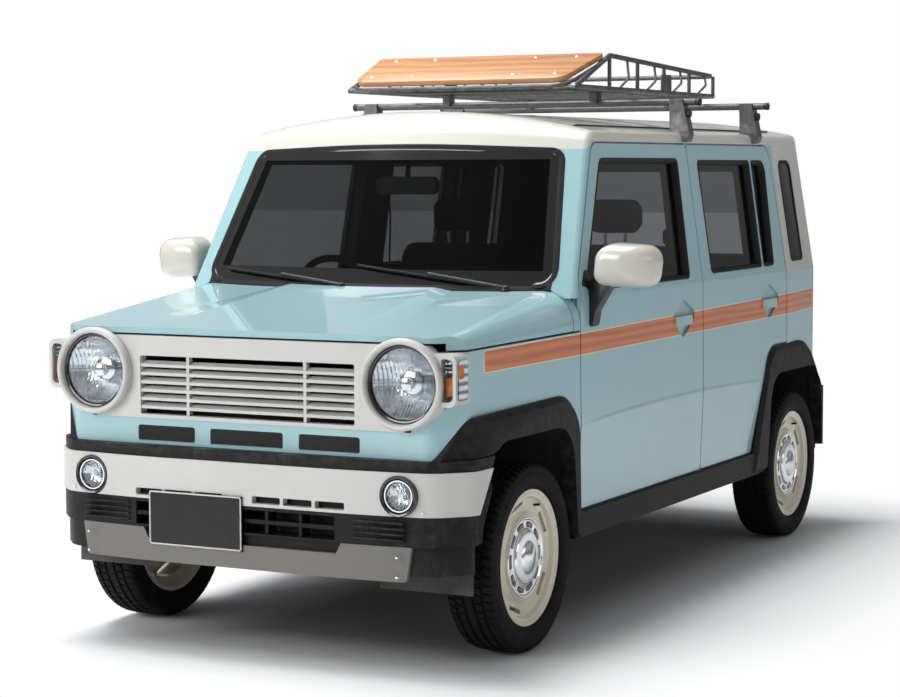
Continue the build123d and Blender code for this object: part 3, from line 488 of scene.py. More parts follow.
def effect(name, inputs, outputs, build):
    """Shader node group made once, with named inputs and outputs."""
    tree = bpy.data.node_groups.new(name, "ShaderNodeTree")
    for label, kind, default in inputs:
        socket = tree.interface.new_socket(label, in_out="INPUT", socket_type="NodeSocket" + kind)
        socket.default_value = default
    for label, kind in outputs:
        tree.interface.new_socket(label, in_out="OUTPUT", socket_type="NodeSocket" + kind)
    nodes = Nodes(tree)
    given = nodes.tree.nodes.new("NodeGroupInput").outputs
    result = nodes.tree.nodes.new("NodeGroupOutput").inputs
    for label, value in build(nodes, given).items():
        nodes.feed(result[label], value)


def use(nodes, name, **inputs):
    made = nodes.add("Group")
    made.node_tree = bpy.data.node_groups[name]
    for key, value in inputs.items():
        nodes.feed(made.inputs[key.replace("_", " ")], value)
    return made.outputs


def tone_drift(nodes, given):
    value = nodes.noise(given["Scale"], 4.0, 0.55)
    shift = nodes.spread(value, 0.3, 0.7, -1.0, 1.0)
    gain = nodes.scaled(shift, given["Amount"], 1.0)
    shaded = nodes.mix(
        1.0, given["Colour"], nodes.add("CombineColor", {0: gain, 1: gain, 2: gain}).outputs[0], "MULTIPLY",
    )
    return {"Colour": shaded, "Value": value}


def moulded_grain(nodes, given):
    cells = nodes.cells(given["Scale"])
    fine = nodes.noise(nodes.times(given["Scale"], 2.3), 2.0)
    height = nodes.scaled(cells, 0.7, nodes.times(fine, 0.5))
    return {"Height": height, "Roughness": nodes.scaled(fine, 0.16, given["Roughness"])}


def low_dust(nodes, given):
    _, _, z = nodes.split()
    low = nodes.spread(z, 0.12, given["Top"], 1.0, 0.0)
    patchy = nodes.spread(nodes.noise(9.0, 5.0, 0.62), 0.35, 0.75, 0.25, 1.0)
    mask = nodes.times(nodes.times(low, patchy), given["Amount"], clamp=True)
    return {"Colour": nodes.mix(mask, given["Colour"], linear(150, 143, 132)), "Mask": mask}


def body_inset(nodes, given):
    """Depth below the sides, and below the nearest of the sides, roof, brow, windscreen and back."""
    x, y, z = nodes.split()
    above = nodes.larger(nodes.minus(z, BELT_Z), 0.0)
    behind = nodes.larger(nodes.minus(y, 1.172), 0.0)
    half = nodes.scaled(above, -LEAN, 0.722)
    half = nodes.scaled(behind, -1 / 15, half)
    side = nodes.minus(half, nodes.size(x))
    rear = nodes.minus(nodes.scaled(above, -LEAN, REAR_Y), y)
    crown = nodes.scaled(nodes.times(x, x), -0.5 / CROWN_R, BROW_R)
    ahead, up = nodes.minus(BROW_Y, y), nodes.minus(z, ROOF_Z - BROW_R)
    reach = up
    for turn in (20, 40, 60):
        lean = nodes.scaled(up, cos(radians(turn)), nodes.times(ahead, sin(radians(turn))))
        reach = nodes.larger(reach, lean)
    depth = nodes.smaller(nodes.minus(crown, reach), nodes.smaller(side, rear))
    return {"Side": side, "Depth": depth}


def stripe_band(nodes, given):
    """Mask of the stripe and of its pale border, from the side view."""
    x, y, z = nodes.split()
    low = nodes.scaled(y, 0.00633, 0.8832)
    high = nodes.scaled(y, 0.0119, 0.9587)
    middle = nodes.times(nodes.plus(low, high), 0.5)
    half = nodes.times(nodes.minus(high, low), 0.5)
    up = nodes.minus(nodes.size(nodes.minus(z, middle)), nodes.minus(half, 0.012))
    front = nodes.minus(-1.443, y)
    corner = nodes.math(
        "SQRT",
        nodes.plus(
            nodes.math("POWER", nodes.larger(up, 0.0), 2.0),
            nodes.math("POWER", nodes.larger(front, 0.0), 2.0),
        ),
    )
    inner = nodes.smaller(nodes.larger(up, front), 0.0)
    distance = nodes.minus(nodes.plus(corner, inner), 0.012)
    outside = nodes.above(nodes.size(x), 0.612)
    inside = nodes.times(nodes.under(distance, 0.0), outside)
    border = nodes.times(nodes.above(distance, -0.0032), inside)
    return {"Mask": inside, "Border": border}


def side_crease(nodes, given):
    """Height of the pressed line that runs along the doors, fading out at both ends."""
    _, y, z = nodes.split()
    line = nodes.scaled(nodes.times(y, y), -0.028, 0.671)
    drop = nodes.minus(z, line)
    below = nodes.spread(drop, -0.075, 0.0, 0.0, 1.0)
    above = nodes.spread(drop, 0.0, 0.012, 1.0, 0.0)
    fade = nodes.times(nodes.spread(y, -0.86, -0.66), nodes.spread(y, 0.80, 1.0, 1.0, 0.0))
    return {"Height": nodes.times(nodes.times(below, above), fade)}


def wood_grain(nodes, given):
    """Long grain lines with pores and slow tone changes along a chosen axis."""
    vector = nodes.add("Mapping", {"Vector": nodes.place(), "Scale": given["Stretch"]}).outputs[0]
    warp = nodes.add("TexNoise", {"Vector": vector, "Scale": 2.2, "Detail": 3.0}).outputs["Color"]
    bent_place = nodes.mix(0.12, vector, warp)
    bands = nodes.add(
        "TexWave", {"Vector": bent_place, "Scale": 5.0, "Distortion": 5.0, "Detail": 3.0},
        bands_direction="Z",
    )
    fine = nodes.add(
        "TexNoise", {"Vector": bent_place, "Scale": 40.0, "Detail": 5.0, "Roughness": 0.65},
    ).outputs["Fac"]
    tone = nodes.scaled(bands.outputs["Fac"], 0.45, nodes.times(fine, 0.55))
    return {
        "Colour": nodes.mix(nodes.spread(tone, 0.25, 0.75), given["Dark"], given["Light"]), "Height": tone,
    }


def worn_edge(nodes, given):
    bend = nodes.add("NewGeometry").outputs["Pointiness"]
    edge = nodes.spread(bend, 0.53, 0.60)
    broken = nodes.spread(nodes.noise(34.0, 5.0, 0.7), 0.42, 0.62)
    mask = nodes.times(nodes.times(edge, broken), given["Amount"], clamp=True)
    return {"Colour": nodes.mix(mask, given["Colour"], given["Worn"]), "Mask": mask}


EFFECTS = (
    (
        "Tone drift",
        (("Colour", "Color", (1, 1, 1, 1)), ("Amount", "Float", 0.05), ("Scale", "Float", 3.0)),
        (("Colour", "Color"), ("Value", "Float")), tone_drift,
    ),
    (
        "Moulded grain", (("Scale", "Float", 900.0), ("Roughness", "Float", 0.5)),
        (("Height", "Float"), ("Roughness", "Float")), moulded_grain,
    ),
    (
        "Low dust", (("Colour", "Color", (1, 1, 1, 1)), ("Amount", "Float", 0.2), ("Top", "Float", 0.6)),
        (("Colour", "Color"), ("Mask", "Float")), low_dust,
    ),
    ("Body inset", (), (("Side", "Float"), ("Depth", "Float")), body_inset),
    ("Stripe band", (), (("Mask", "Float"), ("Border", "Float")), stripe_band),
    ("Side crease", (), (("Height", "Float"),), side_crease),
    (
        "Wood grain",
        (
            ("Light", "Color", (1, 1, 1, 1)), ("Dark", "Color", (0, 0, 0, 1)),
            ("Stretch", "Vector", (1, 1, 1)),
        ),
        (("Colour", "Color"), ("Height", "Float")), wood_grain,
    ),
    (
        "Worn edge",
        (("Colour", "Color", (0, 0, 0, 1)), ("Worn", "Color", (1, 1, 1, 1)), ("Amount", "Float", 0.5)),
        (("Colour", "Color"), ("Mask", "Float")), worn_edge,
    ),
)


# Finishes


def colours():
    return bpy.context.scene.kei_paint


def start(name, **plain):
    material = bpy.data.materials.new(name)
    material.use_nodes = True
    material.node_tree.nodes.clear()
    nodes = Nodes(material.node_tree)
    shader = nodes.add("BsdfPrincipled")
    for key, value in plain.items():
        shader.inputs[key.replace("_", " ")].default_value = value
    out = nodes.add("OutputMaterial")
    nodes.feed(out.inputs[0], shader.outputs[0])
    return material, nodes, shader.inputs, out


def striped(nodes, paint, where=1.0):
    """Paint with the wood-grained stripe and its pale border laid over it."""
    grain = use(
        nodes, "Wood grain", Light=linear(214, 118, 42), Dark=linear(160, 76, 22), Stretch=(1.0, 0.22, 2.6),
    )
    band = use(nodes, "Stripe band")
    mask = nodes.times(band["Mask"], where)
    paint = nodes.mix(mask, paint, nodes.mix(0.25, grain["Colour"], colours().stripe))
    return nodes.mix(nodes.times(band["Border"], where), paint, linear(236, 214, 178)), mask


def car_paint(name, colour, inner, with_stripe=False, split_z=None, below=None):
    """Clear-coated paint; inside the shell it turns to cabin trim."""
    material, nodes, shader, _ = start(name, Coat_Weight=0.85, Coat_Roughness=0.03, IOR=1.5)
    drift = use(nodes, "Tone drift", Colour=colour, Amount=0.018, Scale=1.7)
    paint = drift["Colour"]
    if split_z is not None:
        _, _, z = nodes.split()
        paint = nodes.mix(nodes.above(z, split_z), below, paint)
    rough = nodes.spread(nodes.noise(60.0, 2.0), 0.3, 0.7, 0.30, 0.36)
    inset = use(nodes, "Body inset")
    if with_stripe:
        outer = nodes.under(nodes.size(inset["Side"]), 0.005)
        paint, mask = striped(nodes, paint, outer)
        rough = nodes.blend(mask, rough, 0.42)
    dusty = use(nodes, "Low dust", Colour=paint, Amount=0.10, Top=0.55)
    inside = nodes.above(inset["Depth"], inner)
    trim = linear(24, 24, 25)
    weave = use(nodes, "Moulded grain", Scale=700.0, Roughness=0.75)
    nodes.feed(shader["Base Color"], nodes.mix(inside, dusty["Colour"], trim))
    nodes.feed(shader["Roughness"], nodes.blend(inside, rough, weave["Roughness"]))
    nodes.feed(shader["Coat Weight"], nodes.blend(inside, 0.85, 0.0))
    peel = nodes.noise(230.0, 2.0)
    height = nodes.blend(inside, nodes.times(peel, 0.03), weave["Height"])
    fine = nodes.bump(height, 0.22, 0.0006)
    if with_stripe:
        crease = nodes.add(
            "Bump", {"Strength": 0.75, "Distance": 0.006, "Height": use(nodes, "Side crease")["Height"]},
        )
        nodes.feed(crease.inputs["Normal"], fine)
        fine = crease.outputs[0]
    nodes.feed(shader["Normal"], fine)
    return material


def body_blue():
    return car_paint("body_blue", colours().body, 0.024, with_stripe=True)


def nose_blue():
    material, nodes, shader, _ = start("nose_blue", Coat_Weight=0.85, Coat_Roughness=0.03, IOR=1.5)
    drift = use(nodes, "Tone drift", Colour=colours().body, Amount=0.018, Scale=1.7)
    paint, mask = striped(nodes, drift["Colour"])
    dusty = use(nodes, "Low dust", Colour=paint, Amount=0.10, Top=0.55)
    nodes.feed(shader["Base Color"], dusty["Colour"])
    rough = nodes.spread(nodes.noise(60.0, 2.0), 0.3, 0.7, 0.30, 0.36)
    nodes.feed(shader["Roughness"], nodes.blend(mask, rough, 0.42))
    nodes.feed(shader["Normal"], nodes.bump(nodes.noise(230.0, 2.0), 0.02, 0.0006))
    return material


def roof_white():
    return car_paint("roof_white", colours().roof, 0.026)


def tailgate_paint():
    return car_paint("tailgate_paint", colours().roof, 0.026, split_z=1.062, below=(*colours().body, 1))


def plain_white():
    material, nodes, shader, _ = start("mirror_white", Coat_Weight=0.85, Coat_Roughness=0.04)
    drift = use(nodes, "Tone drift", Colour=colours().roof, Amount=0.02, Scale=9.0)
    nodes.feed(shader["Base Color"], drift["Colour"])
    nodes.feed(shader["Roughness"], nodes.spread(drift["Value"], 0.3, 0.7, 0.28, 0.36))
    nodes.feed(shader["Normal"], nodes.bump(nodes.noise(230.0, 2.0), 0.02, 0.0006))
    return material


def silver_paint():
    return flake_paint("silver_paint", colours().silver)


def skid_silver():
    return flake_paint("skid_silver", linear(86, 82, 74))


def flake_paint(name, colour):
    """Satin paint with fine metal flakes."""
    material, nodes, shader, _ = start(name, Coat_Weight=0.2, Coat_Roughness=0.25, Specular_IOR_Level=0.35)
    flakes = nodes.cells(1600.0)
    drift = use(nodes, "Tone drift", Colour=colour, Amount=0.03, Scale=5.0)
    sparkle = nodes.mix(nodes.spread(flakes, 0.1, 0.7, 0.0, 0.10), drift["Colour"], (1, 1, 1))
    dusty = use(nodes, "Low dust", Colour=sparkle, Amount=0.14, Top=0.6)
    nodes.feed(shader["Base Color"], dusty["Colour"])
    nodes.feed(shader["Metallic"], nodes.spread(flakes, 0.0, 0.8, 0.12, 0.06))
    nodes.feed(shader["Roughness"], nodes.spread(nodes.noise(45.0), 0.3, 0.7, 0.46, 0.56))
    nodes.feed(shader["Normal"], nodes.bump(flakes, 0.03, 0.0004))
    return material


def charcoal_plastic():
    material, nodes, shader, _ = start("charcoal_plastic", Specular_IOR_Level=0.2)
    grain = use(nodes, "Moulded grain", Scale=850.0, Roughness=0.46)
    drift = use(nodes, "Tone drift", Colour=colours().cladding, Amount=0.06, Scale=4.0)
    scuffed = use(nodes, "Worn edge", Colour=drift["Colour"], Worn=linear(66, 66, 66), Amount=0.4)
    dusty = use(nodes, "Low dust", Colour=scuffed["Colour"], Amount=0.05, Top=0.7)
    nodes.feed(shader["Base Color"], dusty["Colour"])
    nodes.feed(shader["Roughness"], grain["Roughness"])
    nodes.feed(shader["Normal"], nodes.bump(grain["Height"], 0.16, 0.0005))
    return material


def black_trim():
    material, nodes, shader, _ = start("black_trim")
    grain = use(nodes, "Moulded grain", Scale=1100.0, Roughness=0.36)
    drift = use(nodes, "Tone drift", Colour=linear(22, 22, 23), Amount=0.12, Scale=6.0)
    nodes.feed(shader["Base Color"], drift["Colour"])
    nodes.feed(shader["Roughness"], grain["Roughness"])
    nodes.feed(shader["Normal"], nodes.bump(grain["Height"], 0.1, 0.0004))
    return material


def gloss_black():
    material, nodes, shader, _ = start("gloss_black", Coat_Weight=0.7, Coat_Roughness=0.04)
    drift = use(nodes, "Tone drift", Colour=linear(14, 14, 15), Amount=0.1, Scale=8.0)
    nodes.feed(shader["Base Color"], drift["Colour"])
    nodes.feed(shader["Roughness"], nodes.spread(nodes.noise(80.0, 4.0), 0.3, 0.7, 0.12, 0.24))
    return material


def rubber():
    material, nodes, shader, _ = start("seal_rubber", Specular_IOR_Level=0.35)
    grain = use(nodes, "Moulded grain", Scale=1500.0, Roughness=0.62)
    drift = use(nodes, "Tone drift", Colour=linear(20, 20, 21), Amount=0.15, Scale=12.0)
    nodes.feed(shader["Base Color"], drift["Colour"])
    nodes.feed(shader["Roughness"], grain["Roughness"])
    nodes.feed(shader["Normal"], nodes.bump(grain["Height"], 0.08, 0.0004))
    return material


def tyre_rubber():
    material, nodes, shader, _ = start("tyre_rubber", Specular_IOR_Level=0.12)
    grain = use(nodes, "Moulded grain", Scale=1300.0, Roughness=0.58)
    drift = use(nodes, "Tone drift", Colour=linear(20, 20, 21), Amount=0.18, Scale=14.0)
    scuff = nodes.spread(nodes.noise(22.0, 6.0, 0.7), 0.45, 0.72, 0.0, 0.25)
    nodes.feed(shader["Base Color"], nodes.mix(scuff, drift["Colour"], linear(44, 42, 39)))
    nodes.feed(shader["Roughness"], grain["Roughness"])
    nodes.feed(shader["Normal"], nodes.bump(grain["Height"], 0.2, 0.0006))
    return material


def cream_paint():
    material, nodes, shader, _ = start("cream_paint", Coat_Weight=0.5, Coat_Roughness=0.08)
    drift = use(nodes, "Tone drift", Colour=colours().wheel, Amount=0.04, Scale=18.0)
    chips = use(nodes, "Worn edge", Colour=drift["Colour"], Worn=linear(120, 112, 98), Amount=0.25)
    dusty = use(nodes, "Low dust", Colour=chips["Colour"], Amount=0.16, Top=0.62)
    nodes.feed(shader["Base Color"], dusty["Colour"])
    nodes.feed(shader["Roughness"], nodes.spread(drift["Value"], 0.3, 0.7, 0.30, 0.42))
    nodes.feed(shader["Normal"], nodes.bump(nodes.noise(240.0, 2.0), 0.03, 0.0005))
    return material


def chrome():
    material, nodes, shader, _ = start("chrome", Metallic=1.0)
    drift = use(nodes, "Tone drift", Colour=linear(226, 228, 230), Amount=0.05, Scale=20.0)
    nodes.feed(shader["Base Color"], drift["Colour"])
    nodes.feed(shader["Roughness"], nodes.spread(nodes.noise(160.0, 5.0), 0.35, 0.75, 0.06, 0.17))
    return material


def lamp_mirror():
    """Vaporised reflector with cut facets."""
    material, nodes, shader, _ = start("lamp_mirror", Metallic=1.0)
    x, _, z = nodes.split()
    ribs = nodes.math("SINE", nodes.times(x, 620.0))
    steps = nodes.math("SINE", nodes.times(z, 260.0))
    drift = use(nodes, "Tone drift", Colour=linear(214, 218, 222), Amount=0.12, Scale=40.0)
    nodes.feed(shader["Base Color"], drift["Colour"])
    nodes.feed(shader["Roughness"], nodes.spread(drift["Value"], 0.3, 0.7, 0.08, 0.2))
    nodes.feed(shader["Normal"], nodes.bump(nodes.plus(ribs, nodes.times(steps, 0.6)), 0.5, 0.0012))
    return material


def glazing(name, tint, roughness, ribs=0.0, frit=None, shade=None):
    """Glass that lets light through to what is behind it; frit is the black printed edge."""
    material, nodes, shader, out = start(name, Transmission_Weight=1.0, IOR=1.2)
    drift = use(nodes, "Tone drift", Colour=tint, Amount=0.02, Scale=2.0)
    nodes.feed(shader["Base Color"], drift["Colour"])
    nodes.feed(
        shader["Roughness"], nodes.spread(nodes.noise(11.0, 4.0), 0.3, 0.7, roughness, roughness + 0.015),
    )
    if ribs:
        x, _, z = nodes.split()
        wave = nodes.math("SINE", nodes.times(x, ribs))
        cross = nodes.math("SINE", nodes.times(z, ribs * 0.37))
        nodes.feed(shader["Normal"], nodes.bump(nodes.plus(wave, cross), 0.22, 0.0006))
    clear = nodes.add("BsdfTransparent", {0: shade or tint})
    shadow = nodes.add("LightPath").outputs["Is Shadow Ray"]
    seen = nodes.add(
        "MixShader", {0: shadow, 1: nodes.tree.nodes["Principled BSDF"].outputs[0], 2: clear.outputs[0]},
    )
    last = seen.outputs[0]
    if frit is not None:
        black = nodes.add(
            "BsdfPrincipled", {"Base Color": linear(9, 9, 10), "Roughness": 0.14, "Coat Weight": 0.4},
        )
        last = nodes.add("MixShader", {0: frit(nodes), 1: last, 2: black.outputs[0]}).outputs[0]
    nodes.feed(out.inputs[0], last)
    return material


def screen_frit(nodes):
    """Printed border of the windscreen, along its sides, foot and top, the top band running under the
    mirror's foot.
    """
    x, y, z = nodes.split()
    across = nodes.size(x)
    edge = nodes.scaled(nodes.minus(z, 1.096), -0.1776, 0.650)
    sides = nodes.above(across, nodes.minus(edge, 0.040))
    ends = nodes.plus(nodes.under(z, 1.142), nodes.above(z, 1.496))
    front = nodes.under(y, -0.5)
    return nodes.times(nodes.plus(sides, ends, clamp=True), front)


def tinted_glass():
    return glazing("tinted_glass", linear(196, 198, 198), 0.0, shade=linear(70, 70, 70))


def screen_glass():
    return glazing("screen_glass", linear(150, 153, 153), 0.0, frit=screen_frit, shade=linear(50, 50, 50))


def lens_glass():
    return glazing("lens_glass", linear(244, 246, 247), 0.0, ribs=420.0)


def coloured_lens(name, colour, ribs):
    material, nodes, shader, _ = start(name, Coat_Weight=0.6, Coat_Roughness=0.03, Transmission_Weight=0.35)
    drift = use(nodes, "Tone drift", Colour=colour, Amount=0.2, Scale=30.0)
    _, _, z = nodes.split()
    nodes.feed(shader["Base Color"], drift["Colour"])
    nodes.feed(shader["Roughness"], nodes.spread(drift["Value"], 0.3, 0.7, 0.1, 0.24))
    wave = nodes.math("SINE", nodes.times(z, ribs))
    nodes.feed(shader["Normal"], nodes.bump(wave, 0.35, 0.0009))
    return material


def amber_lens():
    return coloured_lens("amber_lens", linear(240, 128, 40), 900.0)


def red_lens():
    return coloured_lens("red_lens", linear(176, 22, 24), 520.0)


def bare_metal(name, colour, roughness, worn, dust):
    material, nodes, shader, _ = start(name, Metallic=0.75)
    drift = use(nodes, "Tone drift", Colour=colour, Amount=0.16, Scale=16.0)
    scuffed = use(nodes, "Worn edge", Colour=drift["Colour"], Worn=worn, Amount=0.7)
    dusty = use(nodes, "Low dust", Colour=scuffed["Colour"], Amount=dust, Top=0.7)
    nodes.feed(shader["Base Color"], dusty["Colour"])
    rough = nodes.spread(nodes.noise(70.0, 5.0), 0.3, 0.7, roughness, roughness + 0.18)
    nodes.feed(shader["Roughness"], rough)
    nodes.feed(shader["Normal"], nodes.bump(nodes.noise(500.0, 3.0), 0.12, 0.0004))
    return material


def rack_steel():
    return bare_metal("rack_steel", linear(96, 97, 99), 0.38, linear(150, 151, 153), 0.0)


def chassis_steel():
    return bare_metal("chassis_steel", linear(38, 38, 40), 0.5, linear(110, 108, 104), 0.3)


def cast_iron():
    return bare_metal("cast_iron", linear(64, 63, 62), 0.62, linear(120, 118, 114), 0.2)


def inner_paint():
    material, nodes, shader, _ = start("inner_paint")
    drift = use(nodes, "Tone drift", Colour=linear(26, 27, 28), Amount=0.14, Scale=7.0)
    dusty = use(nodes, "Low dust", Colour=drift["Colour"], Amount=0.3, Top=0.6)
    nodes.feed(shader["Base Color"], dusty["Colour"])
    nodes.feed(shader["Roughness"], nodes.spread(nodes.noise(60.0, 5.0), 0.3, 0.7, 0.55, 0.8))
    nodes.feed(shader["Normal"], nodes.bump(nodes.noise(420.0, 3.0), 0.2, 0.0006))
    return material


def board_wood():
    material, nodes, shader, _ = start("board_wood", Coat_Weight=0.25, Coat_Roughness=0.22)
    grain = use(
        nodes, "Wood grain", Light=linear(196, 140, 88), Dark=linear(176, 118, 70), Stretch=(0.5, 3.0, 3.0),
    )
    nodes.feed(shader["Base Color"], grain["Colour"])
    nodes.feed(shader["Roughness"], nodes.spread(grain["Height"], 0.2, 0.8, 0.38, 0.54))
    nodes.feed(shader["Normal"], nodes.bump(grain["Height"], 0.14, 0.0005))
    return material


def seat_cloth():
    """Woven cover with a fine twill."""
    material, nodes, shader, _ = start("seat_cloth", Sheen_Weight=0.1, Sheen_Roughness=0.5)
    warp = nodes.add(
        "TexWave", {"Vector": nodes.place(), "Scale": 260.0, "Distortion": 0.6}, bands_direction="X",
    )
    weft = nodes.add(
        "TexWave", {"Vector": nodes.place(), "Scale": 260.0, "Distortion": 0.6}, bands_direction="Z",
    )
    weave = nodes.larger(warp.outputs["Fac"], weft.outputs["Fac"])
    drift = use(nodes, "Tone drift", Colour=linear(20, 20, 22), Amount=0.2, Scale=35.0)
    nodes.feed(
        shader["Base Color"],
        nodes.mix(nodes.spread(weave, 0.3, 1.0, 0.35, 0.0), drift["Colour"], linear(12, 12, 13)),
    )
    nodes.feed(shader["Roughness"], nodes.spread(weave, 0.0, 1.0, 0.95, 0.8))
    nodes.feed(shader["Normal"], nodes.bump(weave, 0.35, 0.0006))
    return material


def carpet():
    material, nodes, shader, _ = start("carpet", Sheen_Weight=0.25)
    tuft = nodes.noise(900.0, 3.0)
    drift = use(nodes, "Tone drift", Colour=linear(18, 18, 19), Amount=0.25, Scale=20.0)
    nodes.feed(shader["Base Color"], drift["Colour"])
    nodes.feed(shader["Roughness"], nodes.spread(tuft, 0.3, 0.7, 0.85, 1.0))
    nodes.feed(shader["Normal"], nodes.bump(tuft, 0.6, 0.002))
    return material


def dash_plastic():
    material, nodes, shader, _ = start("dash_plastic")
    grain = use(nodes, "Moulded grain", Scale=620.0, Roughness=0.52)
    drift = use(nodes, "Tone drift", Colour=linear(17, 17, 18), Amount=0.1, Scale=5.0)
    nodes.feed(shader["Base Color"], drift["Colour"])
    nodes.feed(shader["Roughness"], grain["Roughness"])
    nodes.feed(shader["Normal"], nodes.bump(grain["Height"], 0.22, 0.0006))
    return material


def plate_black():
    material, nodes, shader, _ = start(
        "plate_black", Coat_Weight=0.15, Coat_Roughness=0.12, Specular_IOR_Level=0.3,
    )
    drift = use(nodes, "Tone drift", Colour=linear(12, 12, 13), Amount=0.1, Scale=12.0)
    dusty = use(nodes, "Low dust", Colour=drift["Colour"], Amount=0.05, Top=0.6)
    nodes.feed(shader["Base Color"], dusty["Colour"])
    nodes.feed(shader["Roughness"], nodes.spread(nodes.noise(60.0, 4.0), 0.3, 0.7, 0.24, 0.36))
    return material


def radiator_fins():
    material, nodes, shader, _ = start("radiator_fins", Metallic=0.6)
    _, _, z = nodes.split()
    fins = nodes.math("SINE", nodes.times(z, 1600.0))
    drift = use(nodes, "Tone drift", Colour=linear(30, 31, 32), Amount=0.2, Scale=9.0)
    nodes.feed(shader["Base Color"], drift["Colour"])
    nodes.feed(shader["Roughness"], nodes.spread(drift["Value"], 0.3, 0.7, 0.5, 0.7))
    nodes.feed(shader["Normal"], nodes.bump(fins, 0.6, 0.001))
    return material


FINISHES = {
    "body_blue": body_blue,
    "nose_blue": nose_blue,
    "roof_white": roof_white,
    "tailgate_paint": tailgate_paint,
    "mirror_white": plain_white,
    "silver_paint": silver_paint,
    "skid_silver": skid_silver,
    "charcoal_plastic": charcoal_plastic,
    "black_trim": black_trim,
    "gloss_black": gloss_black,
    "seal_rubber": rubber,
    "tyre_rubber": tyre_rubber,
    "cream_paint": cream_paint,
    "chrome": chrome,
    "lamp_mirror": lamp_mirror,
    "tinted_glass": tinted_glass,
    "screen_glass": screen_glass,
    "lens_glass": lens_glass,
    "amber_lens": amber_lens,
    "red_lens": red_lens,
    "rack_steel": rack_steel,
    "chassis_steel": chassis_steel,
    "cast_iron": cast_iron,
    "inner_paint": inner_paint,
    "board_wood": board_wood,
    "seat_cloth": seat_cloth,
    "carpet": carpet,
    "dash_plastic": dash_plastic,
    "plate_black": plate_black,
    "radiator_fins": radiator_fins,
}


def finish_named(name):
    """The finish of that name, with the shared effects built before the first one."""
    if EFFECTS[0][0] not in bpy.data.node_groups:
        for effect_name, inputs, outputs, build in EFFECTS:
            effect(effect_name, inputs, outputs, build)
    label = f"kei_{name}"
    if label not in bpy.data.materials:
        FINISHES[name]().name = label
    return bpy.data.materials[label]


def coat(node, finish):
    """Gives a frame node its finish."""
    piece = NODES[node]
    material = finish_named(finish)
    if not piece.material_slots:
        piece.data.materials.append(material)
    for slot in piece.material_slots:
        slot.link = "OBJECT"
        slot.material = material


NODE_FINISHES = {
    "body_blue": ("side_frame_left", "side_frame_right", "door_front_left", "door_front_right",
                  "door_rear_left", "door_rear_right"),
    "nose_blue": ("front_fenders", "bonnet", "nose_panel"),
    "roof_white": ("roof_shell",),
    "tailgate_paint": ("tailgate",),
    "silver_paint": ("grille_panel", "bumper_band"),
    "skid_silver": ("skid_plate",),
    "charcoal_plastic": ("front_bumper", "cladding_left", "cladding_right", "rear_bumper"),
    "black_trim": ("cowl", "rear_view_mirror"),
    "tinted_glass": ("door_front_glass_left", "door_front_glass_right", "door_rear_glass_left",
                     "door_rear_glass_right", "tailgate_glass"),
    "screen_glass": ("fixed_glass",),
    "red_lens": ("tail_lamps",),
    "inner_paint": ("front_structure",),
    "carpet": ("floor_pan",),
    "dash_plastic": ("dashboard",),
    "chassis_steel": ("front_suspension", "rear_axle", "exhaust", "knuckle_left", "knuckle_right"),
    "cast_iron": ("engine_block",),
    "cream_paint": ("rim_front_left", "rim_front_right", "rim_rear_left", "rim_rear_right"),
    "plate_black": ("number_plate",),
    "rack_steel": ("roof_rack",),
}


class Piece(bpy.types.Operator):
    """Base of the operators that build one group of pieces"""

    bl_options = {"REGISTER", "UNDO"}

    def execute(self, context):
        self.build(context)
        return {"FINISHED"}


class KEI_OT_finishes(Piece):
    """Gives every frame node its paint, plastic, glass or metal"""

    bl_idname = "kei.finishes"
    bl_label = "Finishes"

    def build(self, context):
        for finish, nodes in NODE_FINISHES.items():
            for node in nodes:
                coat(node, finish)


